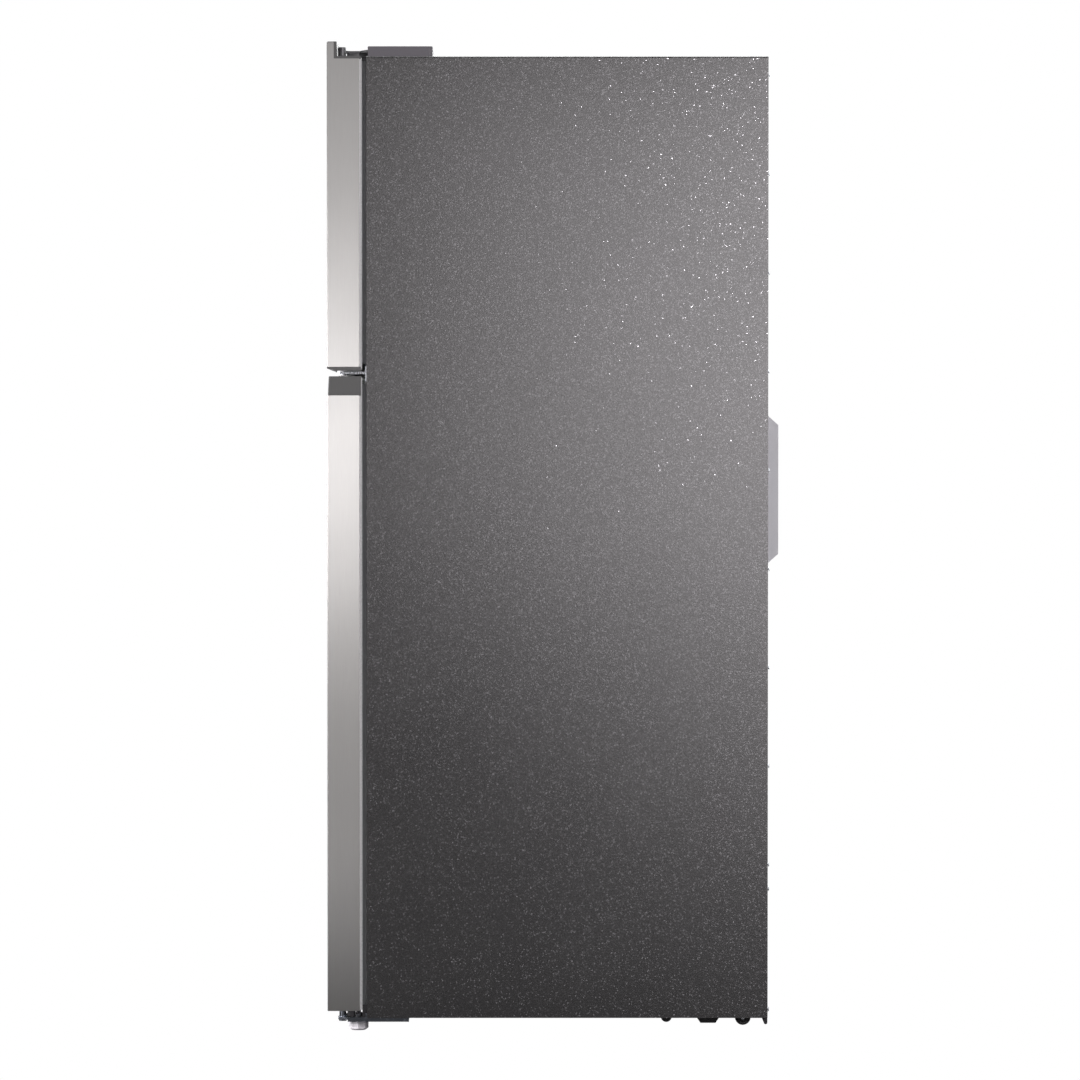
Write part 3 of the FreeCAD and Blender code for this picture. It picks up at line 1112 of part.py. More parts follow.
def build():
    """Makes every sub-part in the order a cabinet is assembled."""
    DOC.recompute()
    cabinet_wrapper()
    insulation()
    fridge_liner()
    freezer_liner()
    cabinet_metalwork()
    rear_control_box()
    base_plate()
    rollers()
    compressor()
    cooling_gear()
    fan_blades("condenser_blades", "X", (FAN_X, *FAN_SPOT), 16, 58, 20, "condenser_fan_blade", 1.56)
    evaporator()
    evaporator_cover()
    x, z = EVAPORATOR_FAN
    fan_blades("cold_blades", "Y", (x, number("freezer_rear") - 41, z), 14, 48, 16, "evaporator_fan_blade",
               1.56)
    control_knobs()
    air_duct()
    shelves()
    crisper_bay()
    freezer_door()
    fridge_door()
    top_hinge()
    middle_hinge()
    keep(bottom_bracket("bottom_hinge", 1, True), "bottom_hinge")
    keep(bottom_bracket("left_foot_bracket", -1, False), "left_foot_bracket")
    screws()
    levelling_foot("right", 1)
    levelling_foot("left", -1)
    cord_gland()
    DOC.recompute()


def check_and_write():
    """Stops on any failed feature or bad shape, then writes one STEP file for each sub-part."""
    failed = [o.Name for o in DOC.Objects if {"Invalid", "Error"} & set(o.State)]
    if failed:
        raise RuntimeError(f"failed features: {failed}")
    for part in PARTS:
        if part.Shape.isNull() or not part.Shape.isValid() or not part.Shape.Solids:
            raise RuntimeError(f"bad shape: {part.Label}")
    os.makedirs("parts", exist_ok=True)
    for stale in os.listdir("parts"):
        os.remove(os.path.join("parts", stale))
    for part in PARTS:
        part.Shape.exportStep(f"parts/{part.Label}.step")
        print(f"{part.Label}: {len(part.Shape.Solids)} solid(s), {part.Shape.Volume / 1000:.1f} cm3")
    print(len(PARTS), "sub-parts")


build()
check_and_write()
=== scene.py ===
"""Looks of a free-standing top freezer refrigerator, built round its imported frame.

Every class below is one sub-assembly of the appliance. It dresses the frame's own nodes in their
finishes and adds the small pieces that the frame leaves plain: seals, screws, wires, ribs, trims.
"""

import json
import logging
import math
from dataclasses import dataclass
from enum import Enum, auto

import bmesh
import bpy
from mathutils import Euler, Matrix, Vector

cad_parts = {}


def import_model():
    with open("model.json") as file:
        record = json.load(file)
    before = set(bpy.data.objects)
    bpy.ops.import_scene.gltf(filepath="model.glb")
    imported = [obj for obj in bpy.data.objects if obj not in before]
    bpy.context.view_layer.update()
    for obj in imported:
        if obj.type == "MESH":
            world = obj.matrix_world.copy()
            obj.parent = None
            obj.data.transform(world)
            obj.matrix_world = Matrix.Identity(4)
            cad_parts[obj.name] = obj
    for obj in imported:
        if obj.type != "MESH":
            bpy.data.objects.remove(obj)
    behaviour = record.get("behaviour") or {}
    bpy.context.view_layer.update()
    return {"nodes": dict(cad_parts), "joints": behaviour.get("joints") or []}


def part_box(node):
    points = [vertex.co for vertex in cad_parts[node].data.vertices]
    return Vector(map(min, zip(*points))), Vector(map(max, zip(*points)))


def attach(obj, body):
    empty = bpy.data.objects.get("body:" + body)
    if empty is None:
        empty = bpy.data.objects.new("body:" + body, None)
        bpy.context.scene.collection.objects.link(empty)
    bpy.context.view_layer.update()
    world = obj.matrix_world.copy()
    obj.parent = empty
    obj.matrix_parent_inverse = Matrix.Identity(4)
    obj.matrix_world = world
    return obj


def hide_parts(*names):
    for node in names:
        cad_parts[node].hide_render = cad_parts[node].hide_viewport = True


LOG = logging.getLogger("refrigerator")

Point = tuple[float, float, float]
Flat = tuple[float, float]
Colour = tuple[float, float, float]

SINK = 0.0004
"""How far an added piece sinks into the surface that it sits on, in metres."""


# ------------------------------------------------------------------ finishes


class Grain(Enum):
    """The surface texture of a finish."""

    EMBOSSED = auto()
    BRUSHED = auto()
    MOULDED = auto()
    SATIN = auto()
    SPANGLE = auto()
    FOAMED = auto()
    POLISHED = auto()
    DRAWN = auto()


@dataclass(frozen=True)
class GrainRecipe:
    """How a grain is drawn: cells per metre, stretch of the cells, depth in metres and swings."""

    scale: float
    depth: float
    stretch: Point = (1.0, 1.0, 1.0)
    detail: float = 3.0
    pebbles: float = 0.0
    rough_swing: float = 0.06
    tint_swing: float = 0.10


GRAINS: dict[Grain, GrainRecipe] = {
    Grain.EMBOSSED: GrainRecipe(scale=420, depth=0.00006, pebbles=620, rough_swing=0.04, tint_swing=0.12),
    Grain.BRUSHED: GrainRecipe(scale=1500, depth=0.00003, stretch=(1.0, 1.0, 0.02), rough_swing=0.04,
                               tint_swing=0.05),
    Grain.MOULDED: GrainRecipe(scale=900, depth=0.00006, rough_swing=0.05, tint_swing=0.06),
    Grain.SATIN: GrainRecipe(scale=260, depth=0.00003, rough_swing=0.05, tint_swing=0.06),
    Grain.SPANGLE: GrainRecipe(scale=60, depth=0.00002, pebbles=110, rough_swing=0.10, tint_swing=0.14),
    Grain.FOAMED: GrainRecipe(scale=420, depth=0.0006, pebbles=240, rough_swing=0.02, tint_swing=0.10),
    Grain.POLISHED: GrainRecipe(scale=12, depth=0.00002, rough_swing=0.02, tint_swing=0.02),
    Grain.DRAWN: GrainRecipe(scale=700, depth=0.00002, stretch=(1.0, 1.0, 0.2), rough_swing=0.08,
                             tint_swing=0.10),
}


PEBBLE_ROUNDNESS = 0.35
PEBBLE_DEPTH = -0.9
MARK_SCALE, MARK_DETAIL = 5.0, 4.0
MARK_RANGE: Flat = (0.6, 1.4)
TINT_RANGE: Flat = (0.25, 0.75)

FLAKE_SCALE = 700.0
FLAKE_TILT = 0.36
FLAKE_ROUGHNESS = 0.14
FLAKE_COLOUR = (0.055, 0.055, 0.057, 1.0)

NO_COLOUR = (0.0, 0.0, 0.0, 1.0)
FULL_WHITE = (1.0, 1.0, 1.0, 1.0)


def add_node(tree: bpy.types.NodeTree, kind: str, feeds: dict[str | int, object] | None = None,
             **settings: object) -> bpy.types.Node:
    """Adds a node to a tree.

    Args:
        tree: The tree.
        kind: The node's kind, without the prefix that all of them share.
        feeds: What each of its inputs gets: another node's output, or a value.
        settings: Its own settings, which are made before its inputs are fed.

    Returns:
        The new node.
    """
    made = tree.nodes.new(f"ShaderNode{kind}")
    for name, value in settings.items():
        setattr(made, name, value)
    for socket, feed in (feeds or {}).items():
        if isinstance(feed, bpy.types.NodeSocket):
            tree.links.new(feed, made.inputs[socket])
        else:
            made.inputs[socket].default_value = feed
    return made


@dataclass(frozen=True)
class Finish:
    """One finish of the appliance, drawn as a material from nodes."""

    name: str
    slot: str
    colour: Colour
    roughness: float
    grain: Grain
    metallic: float = 0.0
    specular: float = 0.5
    ior: float = 1.5
    anisotropy: float = 0.0
    transmission: float = 0.0
    edge_colour: Colour | None = None
    flakes: float = 0.0
    glow: float = 0.0

    def material(self) -> bpy.types.Material:
        """Returns this finish's material, made on first use."""
        known = bpy.data.materials.get(f"{self.name}_finish")
        return known if known else self._draw()

    def _draw(self) -> bpy.types.Material:
        """Builds the node tree.

        Returns:
            The new material.
        """
        recipe = GRAINS[self.grain]
        made = bpy.data.materials.new(f"{self.name}_finish")
        made.use_nodes = True
        made.diffuse_color = (*self.colour, 1.0)
        tree = made.node_tree
        shader = tree.nodes["Principled BSDF"]
        for socket, value in (("Metallic", self.metallic), ("Specular IOR Level", self.specular),
                              ("Anisotropic", self.anisotropy), ("Transmission Weight", self.transmission),
                              ("Emission Strength", self.glow), ("IOR", self.ior)):
            shader.inputs[socket].default_value = value
        shader.inputs["Emission Color"].default_value = (*self.colour, 1.0)
        place = add_node(tree, "TexCoord")
        stretch = add_node(tree, "Mapping", {"Scale": recipe.stretch, "Vector": place.outputs["Object"]})
        grain = add_node(tree, "TexNoise", {"Scale": recipe.scale, "Detail": recipe.detail,
                                            "Vector": stretch.outputs["Vector"]})
        height = grain.outputs["Fac"]
        if recipe.pebbles:
            height = self._pebbles(tree, stretch, height, recipe.pebbles)
        bump = add_node(tree, "Bump", {"Strength": 1.0, "Distance": recipe.depth, "Height": height})
        tree.links.new(bump.outputs["Normal"], shader.inputs["Normal"])
        if self.flakes:
            self._flakes(tree, shader, place)
        self._roughness(tree, shader, place, height, recipe.rough_swing)
        self._tint(tree, shader, place, height, recipe.tint_swing)
        if self.anisotropy:
            tangent = add_node(tree, "Tangent", direction_type="RADIAL", axis="Z")
            tree.links.new(tangent.outputs["Tangent"], shader.inputs["Tangent"])
        return made

    def _pebbles(self, tree: bpy.types.NodeTree, stretch: bpy.types.Node, height: bpy.types.NodeSocket,
                 scale: float) -> bpy.types.NodeSocket:
        """Adds rounded cells to the grain.

        Args:
            tree: The material's node tree.
            stretch: The node whose vector the cells follow.
            height: The grain so far.
            scale: Cells per metre.

        Returns:
            The socket that carries the grain with its cells.
        """
        cells = add_node(tree, "TexVoronoi", {"Scale": scale, "Smoothness": PEBBLE_ROUNDNESS,
                                              "Vector": stretch.outputs["Vector"]}, feature="SMOOTH_F1")
        blend = add_node(tree, "Math", {0: cells.outputs["Distance"], 1: PEBBLE_DEPTH, 2: height},
                         operation="MULTIPLY_ADD")
        return blend.outputs["Value"]

    def _flakes(self, tree: bpy.types.NodeTree, shader: bpy.types.Node, place: bpy.types.Node) -> None:
        """Strews small glossy facets, each tilted its own way, over the surface.

        Args:
            tree: The material's node tree.
            shader: The surface shader.
            place: The texture coordinates.
        """
        cells = add_node(tree, "TexVoronoi", {"Scale": FLAKE_SCALE, "Vector": place.outputs["Object"]})
        centred = add_node(tree, "VectorMath", {0: cells.outputs["Color"], 1: (0.5, 0.5, 0.5)},
                           operation="SUBTRACT")
        tilt = add_node(tree, "VectorMath", {0: centred.outputs["Vector"], "Scale": FLAKE_TILT},
                        operation="SCALE")
        face = add_node(tree, "NewGeometry")
        lean = add_node(tree, "VectorMath", {0: face.outputs["Normal"], 1: tilt.outputs["Vector"]},
                        operation="ADD")
        unit = add_node(tree, "VectorMath", {0: lean.outputs["Vector"]}, operation="NORMALIZE")
        lot = add_node(tree, "TexWhiteNoise", {"Vector": cells.outputs["Position"]})
        drawn = add_node(tree, "Math", {0: lot.outputs["Value"], 1: self.flakes}, operation="LESS_THAN")
        shade = add_node(tree, "Mix", {"A": NO_COLOUR, "B": FLAKE_COLOUR, "Factor": drawn.outputs["Value"]},
                         data_type="RGBA")
        facet = add_node(tree, "BsdfAnisotropic", {"Roughness": FLAKE_ROUGHNESS,
                                                   "Normal": unit.outputs["Vector"],
                                                   "Color": shade.outputs["Result"]})
        both = add_node(tree, "AddShader", {0: shader.outputs["BSDF"], 1: facet.outputs["BSDF"]})
        tree.links.new(both.outputs["Shader"], tree.nodes["Material Output"].inputs["Surface"])

    def _roughness(self, tree: bpy.types.NodeTree, shader: bpy.types.Node, place: bpy.types.Node,
                   height: bpy.types.NodeSocket, swing: float) -> None:
        """Varies the gloss with the grain and with faint handling marks.

        Args:
            tree: The material's node tree.
            shader: The surface shader.
            place: The texture coordinates.
            height: The grain.
            swing: How far the roughness goes each way.
        """
        marks = add_node(tree, "TexNoise", {"Scale": MARK_SCALE, "Detail": MARK_DETAIL,
                                            "Vector": place.outputs["Object"]})
        both = add_node(tree, "Math", {0: height, 1: marks.outputs["Fac"]}, operation="ADD")
        spread = add_node(tree, "MapRange", {"Value": both.outputs["Value"], "From Min": MARK_RANGE[0],
                                             "From Max": MARK_RANGE[1],
                                             "To Min": max(0.0, self.roughness - swing),
                                             "To Max": min(1.0, self.roughness + swing)})
        tree.links.new(spread.outputs["Result"], shader.inputs["Roughness"])

    def _tint(self, tree: bpy.types.NodeTree, shader: bpy.types.Node, place: bpy.types.Node,
              height: bpy.types.NodeSocket, swing: float) -> None:
        """Varies the colour with the grain, and gives a plate its own edge colour.

        Args:
            tree: The material's node tree.
            shader: The surface shader.
            place: The texture coordinates.
            height: The grain.
            swing: How far the colour goes each way, as a share.
        """
        tint = add_node(tree, "ValToRGB", {"Fac": height})
        low, high = tint.color_ramp.elements
        low.color = (*(c * (1 - swing) for c in self.colour), 1.0)
        high.color = (*(min(1.0, c * (1 + swing)) for c in self.colour), 1.0)
        low.position, high.position = TINT_RANGE
        colour = tint.outputs["Color"]
        if self.edge_colour:
            parts = add_node(tree, "SeparateXYZ", {"Vector": place.outputs["Normal"]})
            level = add_node(tree, "Math", {0: parts.outputs["Z"]}, operation="ABSOLUTE")
            edge = add_node(tree, "Mix", {"A": (*self.edge_colour, 1.0), "B": colour,
                                          "Factor": level.outputs["Value"]}, data_type="RGBA")
            colour = edge.outputs["Result"]
        tree.links.new(colour, shader.inputs["Base Color"])


CABINET_PAINT = Finish("cabinet_paint", "dark_painted_steel", (0.0125, 0.012, 0.0125), 0.30, Grain.EMBOSSED,
                       specular=1.0, ior=1.65, flakes=0.3)
DOOR_STEEL = Finish("door_steel", "door_steel", (0.395, 0.396, 0.384), 0.53, Grain.BRUSHED, metallic=1.0,
                    anisotropy=0.98)
FOAM = Finish("insulating_foam", "foam", (0.80, 0.70, 0.46), 0.9, Grain.FOAMED)
LINER = Finish("liner_plastic", "white_liner", (0.84, 0.85, 0.85), 0.28, Grain.SATIN)
WHITE = Finish("white_plastic", "white_plastic", (0.80, 0.81, 0.82), 0.32, Grain.MOULDED)
BLACK_STEEL = Finish("black_steel", "black_steel", (0.014, 0.014, 0.016), 0.42, Grain.SATIN)
ZINC_SHEET = Finish("zinc_sheet", "galvanised_sheet", (0.50, 0.51, 0.53), 0.42, Grain.SPANGLE, metallic=0.9)
PALE_PLASTIC = Finish("pale_plastic", "pale_grey_plastic", (0.62, 0.623, 0.648), 0.5, Grain.MOULDED)
FOOT_PLASTIC = Finish("foot_plastic", "pale_grey_plastic", (0.90, 0.89, 0.93), 0.42, Grain.MOULDED)
CAP_PLASTIC = Finish("cap_plastic", "grey_plastic", (0.080, 0.081, 0.080), 0.5, Grain.MOULDED)
PAN_PLASTIC = Finish("pan_plastic", "grey_plastic", (0.22, 0.23, 0.24), 0.5, Grain.MOULDED)
DARK_PLASTIC = Finish("dark_plastic", "dark_plastic", (0.018, 0.018, 0.020), 0.45, Grain.MOULDED)
ROLLER_PLASTIC = Finish("roller_plastic", "dark_plastic", (0.15, 0.15, 0.15), 0.5, Grain.MOULDED)
COVER_PLASTIC = Finish("cover_plastic", "dark_plastic", (0.105, 0.100, 0.112), 0.5, Grain.MOULDED)
DARK_METAL = Finish("dark_metal", "dark_hinge", (0.15, 0.15, 0.155), 0.40, Grain.SATIN, metallic=0.6)
DULL_ZINC = Finish("dull_zinc", "zinc", (0.36, 0.39, 0.44), 0.30, Grain.SPANGLE, metallic=1.0)
ZINC = Finish("zinc_plate", "zinc", (0.74, 0.77, 0.81), 0.28, Grain.DRAWN, metallic=1.0)
RUBBER = Finish("rubber", "rubber", (0.02, 0.02, 0.02), 0.75, Grain.MOULDED, specular=0.3)
SEAL_VINYL = Finish("seal_vinyl", "gasket_vinyl", (0.36, 0.37, 0.38), 0.48, Grain.SATIN)
COPPER = Finish("copper_tube", "copper", (0.74, 0.38, 0.22), 0.3, Grain.DRAWN, metallic=1.0)
ALUMINIUM = Finish("aluminium", "aluminium", (0.75, 0.76, 0.77), 0.34, Grain.DRAWN, metallic=1.0)
GLASS = Finish("shelf_glass", "shelf_glass", (0.93, 0.97, 0.95), 0.03, Grain.POLISHED, transmission=1.0,
               edge_colour=(0.16, 0.50, 0.36))
CLEAR = Finish("clear_plastic", "clear_plastic", (0.93, 0.96, 0.97), 0.08, Grain.POLISHED, transmission=0.9)
LENS = Finish("lamp_lens", "lamp_lens", (0.95, 0.94, 0.90), 0.35, Grain.SATIN, transmission=0.4, glow=0.25)
MARKING = Finish("marking_ink", "dark_plastic", (0.10, 0.16, 0.24), 0.6, Grain.SATIN)


# ------------------------------------------------------------------ shapes


class Axis(Enum):
    """The direction that a turned or extruded shape follows."""

    X = 0
    Y = 1
    Z = 2

    def spread(self, across: float, up: float, along: float) -> Vector:
        """Returns a point given across and up its axis, and along it."""
        spots = {Axis.X: (along, across, up), Axis.Y: (across, along, up), Axis.Z: (across, up, along)}
        return Vector(spots[self])


def around(count: int, start: float = 0.0) -> list[float]:
    """Returns evenly spaced angles of a full turn."""
    return [start + math.tau * i / count for i in range(count)]


def rounded_ring(half: Flat, corner: float, steps: int = 5) -> list[Flat]:
    """Works out a rectangle with round corners.

    Args:
        half: Half its width and half its height.
        corner: The corners' radius.
        steps: How many sides each corner has.

    Returns:
        The points in order, without repeating the first.
    """
    ring = []
    for quarter, (side, level) in enumerate(((1, 1), (-1, 1), (-1, -1), (1, -1))):
        for i in range(steps + 1):
            angle = math.pi / 2 * (quarter + i / steps)
            ring.append((side * (half[0] - corner) + corner * math.cos(angle),
                         level * (half[1] - corner) + corner * math.sin(angle)))
    return ring


class Shape:
    """A mesh in the making. Each method adds one closed form to it."""

    def __init__(self) -> None:
        """Starts with nothing in it."""
        self.mesh = bmesh.new()

    def skin(self, rings: list[list[Vector]], closed: bool) -> None:
        """Skins a row of rings.

        Args:
            rings: Rings with the same number of points each.
            closed: True if the last ring joins the first; otherwise both ends are capped.
        """
        rows = [[self.mesh.verts.new(p) for p in ring] for ring in rings]
        pairs = list(zip(rows, rows[1:] + ([rows[0]] if closed else [])))
        for low, high in pairs:
            for i in range(len(low)):
                j = (i + 1) % len(low)
                self.mesh.faces.new((low[i], low[j], high[j], high[i]))
        if not closed:
            self.mesh.faces.new(list(reversed(rows[0])))
            self.mesh.faces.new(rows[-1])

    def block(self, low: Point, high: Point, soft: float = 0.0, steps: int = 2) -> None:
        """Adds a block with softened edges.

        Args:
            low: Its lowest corner.
            high: Its highest corner.
            soft: The edges' radius.
            steps: How many sides each edge has.
        """
        centre = [(a + b) / 2 for a, b in zip(low, high)]
        made = bmesh.ops.create_cube(self.mesh, size=1.0)["verts"]
        for vert in made:
            for i in range(3):
                vert.co[i] = centre[i] + vert.co[i] * (high[i] - low[i])
        if soft:
            edges = {e for v in made for e in v.link_edges}
            bmesh.ops.bevel(self.mesh, geom=[*made, *edges], offset=soft, segments=steps, affect="EDGES",
                            profile=0.5)

    def lathe(self, profile: list[Flat], centre: Point, axis: Axis, sides: int = 40) -> None:
        """Adds a turned form with a closed profile that stays off the axis.

        Args:
            profile: Its section, as radius and place along the axis.
            centre: A point on the axis.
            axis: The axis.
            sides: How many sides it has.
        """
        rings = [[Vector(centre) + axis.spread(r * math.cos(a), r * math.sin(a), h) for r, h in profile]
                 for a in around(sides)]
        self.skin(rings, closed=True)

    def stack(self, sections: list[Flat], centre: Point, axis: Axis, sides: int = 32,
              turn: float = 0.0) -> None:
        """Adds a solid round or faceted form.

        Args:
            sections: Its radius and place along the axis, from one end to the other.
            centre: A point on the axis.
            axis: The axis.
            sides: How many sides it has.
            turn: The angle of its first corner.
        """
        rings = [[Vector(centre) + axis.spread(r * math.cos(a), r * math.sin(a), h)
                  for a in around(sides, turn)] for r, h in sections]
        self.skin(rings, closed=False)

    def tube(self, path: list[Point], radius: float, sides: int = 10, closed: bool = False) -> None:
        """Adds a round bar that follows a path.

        Args:
            path: The points of its middle line.
            radius: Its radius.
            sides: How many sides it has.
            closed: True if its end joins its start.
        """
        spots = [Vector(p) for p in path]
        rings, side = [], None
        for i, spot in enumerate(spots):
            before = spots[i - 1] if (i or closed) else spot
            after = spots[(i + 1) % len(spots)] if (i + 1 < len(spots) or closed) else spot
            ahead = (after - before).normalized()
            if side is None:
                side = ahead.orthogonal()
            side = (side - ahead * side.dot(ahead)).normalized()
            up = ahead.cross(side)
            rings.append([spot + (side * math.cos(a) + up * math.sin(a)) * radius for a in around(sides)])
        self.skin(rings, closed)

    def sweep_frame(self, profile: list[Flat], low: Flat, high: Flat, back: float, corner: float) -> None:
        """Adds an upright rectangular frame with one section all round.

        Args:
            profile: Its section, as inset from the outer edge and depth from the back.
            low: Its lowest X and Z.
            high: Its highest X and Z.
            back: The Y of its back.
            corner: The radius of its outer corners.
        """
        middle = ((low[0] + high[0]) / 2, (low[1] + high[1]) / 2)
        half = ((high[0] - low[0]) / 2, (high[1] - low[1]) / 2)
        lines = []
        for inset, depth in profile:
            ring = rounded_ring((half[0] - inset, half[1] - inset), max(corner - inset, 0.0006))
            lines.append([Vector((middle[0] + x, back + depth, middle[1] + z)) for x, z in ring])
        rings = [[line[i] for line in lines] for i in range(len(lines[0]))]
        self.skin(rings, closed=True)

    def piece(self, name: str, finish: Finish, body: str, replaces: tuple[str, ...] = (),
              smooth: float = 38.0) -> bpy.types.Object:
        """Turns the mesh into a piece of the appliance.

        Args:
            name: The piece's name.
            finish: Its finish.
            body: The body that it rides on.
            replaces: Frame nodes that it stands for.
            smooth: Edges sharper than this, in degrees, stay crisp.

        Returns:
            The new object.
        """
        bmesh.ops.recalc_face_normals(self.mesh, faces=self.mesh.faces)
        data = bpy.data.meshes.new(name)
        self.mesh.to_mesh(data)
        self.mesh.free()
        data.polygons.foreach_set("use_smooth", [True] * len(data.polygons))
        data.set_sharp_from_angle(angle=math.radians(smooth))
        made = bpy.data.objects.new(name, data)
        bpy.context.scene.collection.objects.link(made)
        data.materials.append(finish.material())
        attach(made, body)
        if replaces:
            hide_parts(*replaces)
        LOG.info("piece %s: %d faces on %s", name, len(data.polygons), body)
        return made


@dataclass(frozen=True)
class Box:
    """The box of a node, or of one solid in it."""

    low: Vector
    high: Vector

    @property
    def middle(self) -> Vector:
        """Its centre."""
        return (self.low + self.high) / 2

    @property
    def size(self) -> Vector:
        """Its size along each axis."""
        return self.high - self.low


def box_of(node: str) -> Box:
    """Returns a node's box."""
    return Box(*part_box(node))


def solids_of(nodes: dict[str, bpy.types.Object], node: str) -> list[Box]:
    """Finds the separate solids of a node.

    Args:
        nodes: The frame's nodes.
        node: The node's name.

    Returns:
        Each solid's box, sorted by place.
    """
    copy = bmesh.new()
    copy.from_mesh(nodes[node].data)
    bmesh.ops.remove_doubles(copy, verts=copy.verts, dist=1e-6)
    left, found = set(copy.verts), []
    while left:
        queue, island = [left.pop()], []
        while queue:
            vert = queue.pop()
            island.append(vert.co.copy())
            for edge in vert.link_edges:
                other = edge.other_vert(vert)
                if other in left:
                    left.remove(other)
                    queue.append(other)
        found.append(Box(Vector(map(min, *island)), Vector(map(max, *island))))
    copy.free()
    return sorted(found, key=lambda b: tuple(round(v, 4) for v in b.middle))


def dress(nodes: dict[str, bpy.types.Object], finishes: dict[str, Finish], edge: float = 0.0) -> None:
    """Gives frame nodes their finishes.

    Args:
        nodes: The frame's nodes.
        finishes: The finish of each node by name.
        edge: The width of the soft edge that a rendered node gets, or none.
    """
    for name, finish in finishes.items():
        node = nodes[name]
        node.data.materials.clear()
        node.data.materials.append(finish.material())
        if edge:
            soft = node.modifiers.new("soft_edge", "BEVEL")
            soft.width = edge
            soft.segments = 2
            soft.limit_method = "ANGLE"
            soft.angle_limit = math.radians(40)
            soft.harden_normals = True
        LOG.info("node %s: %s", name, finish.name)


def hex_screw(shape: Shape, spot: Box, axis: Axis, outward: int) -> None:
    """Adds a hexagon screw with a flange in the box of a plain one.

    Args:
        shape: The mesh to add it to.
        spot: The plain screw's box.
        axis: The direction of its shank.
        outward: 1 if its head is at the high end of the axis, -1 if it is at the low end.
    """
    i = axis.value
    across = max(spot.size[j] for j in range(3) if j != i) / 2
    tip, top = (spot.low[i], spot.high[i]) if outward > 0 else (spot.high[i], spot.low[i])
    centre = list(spot.middle)
    centre[i] = 0.0
    head = 0.45 * abs(top - tip)
    seat = top - outward * head
    shape.stack([(across * 0.45, tip), (across * 0.45, seat)], centre, axis, sides=16)
    shape.stack([(across, seat), (across, seat + outward * head * 0.18),
                 (across * 0.88, seat + outward * head * 0.3)], centre, axis, sides=28)
    shape.stack([(across * 0.82, seat + outward * head * 0.2), (across * 0.82, top - outward * head * 0.22),
                 (across * 0.7, top)], centre, axis, sides=6, turn=0.2)


def face_screw(shape: Shape, place: Point, radius: float, height: float) -> None:
    """Adds a hexagon screw that stands on the back of a sheet.

    Args:
        shape: The mesh to add it to.
        place: The point of the sheet under its middle.
        radius: Half its width.
        height: How far it stands out.
    """
    x, face, z = place
    spot = Box(Vector((x - radius, face - SINK, z - radius)), Vector((x + radius, face + height, z + radius)))
    hex_screw(shape, spot, Axis.Y, 1)


# ------------------------------------------------------------------ cabinet and back


@dataclass
class Cabinet:
    """The painted wrapper, liners, foam and the metalwork round them."""

    nodes: dict[str, bpy.types.Object]
    bead_width: float = 0.022
    bead_height: float = 0.0016
    bead_count: int = 5
    bead_margin: float = 0.05
    bead_clearance: float = 0.04
    screw_count: int = 9
    screw_inset: float = 0.009
    screw_margin: float = 0.03
    screw_radius: float = 0.0042
    screw_height: float = 0.0028
    body: str = "cabinet"

    def dress(self) -> None:
        """Gives the shell its finishes."""
        dress(self.nodes, {"cabinet_wrapper": CABINET_PAINT}, edge=0.0003)
        dress(self.nodes, {"mullion_trim": CABINET_PAINT, "insulation": FOAM, "back_panel": ZINC_SHEET,
                           "bottom_panel": BLACK_STEEL, "fridge_liner": LINER, "freezer_liner": LINER})

    def build(self) -> None:
        """Adds the pressed beads of the back sheet and the seam screws round it."""
        sheet, control = box_of("back_panel"), box_of("control_cover")
        beads = Shape()
        pitch = sheet.size.x / (self.bead_count + 1)
        for i in range(self.bead_count):
            x = sheet.low.x + pitch * (i + 1)
            for low, high in ((sheet.low.z + self.bead_margin, control.low.z - self.bead_clearance),
                              (control.high.z + self.bead_clearance, sheet.high.z - self.bead_margin)):
                beads.block((x - self.bead_width / 2, sheet.high.y - SINK, low),
                            (x + self.bead_width / 2, sheet.high.y + self.bead_height, high),
                            soft=0.0018, steps=3)
        beads.piece("back_panel_beads", ZINC_SHEET, self.body)
        screws = Shape()
        rise = sheet.size.z - 2 * self.screw_margin
        for side in (-1, 1):
            for i in range(self.screw_count):
                z = sheet.low.z + self.screw_margin + i * rise / (self.screw_count - 1)
                face_screw(screws, (side * (sheet.high.x - self.screw_inset), sheet.high.y, z),
                           self.screw_radius, self.screw_height)
        screws.piece("back_panel_screws", ZINC, self.body)


HOOD_PROFILE: tuple[Flat, ...] = ((-0.0004, 0.0035), (0.004, -0.002), (0.0044, -0.0014), (0.0006, 0.0045))
BORDER_PROFILE: list[Flat] = [(0.0, -0.0002), (0.0, 0.0006), (0.001, 0.0014), (0.003, 0.0014), (0.004, 0.0006),
                              (0.004, -0.0002)]
FLANGE_PROFILE: list[Flat] = [(0.0, 0.0), (0.0, 0.0012), (0.0008, 0.002), (0.009, 0.002), (0.0095, 0.0)]


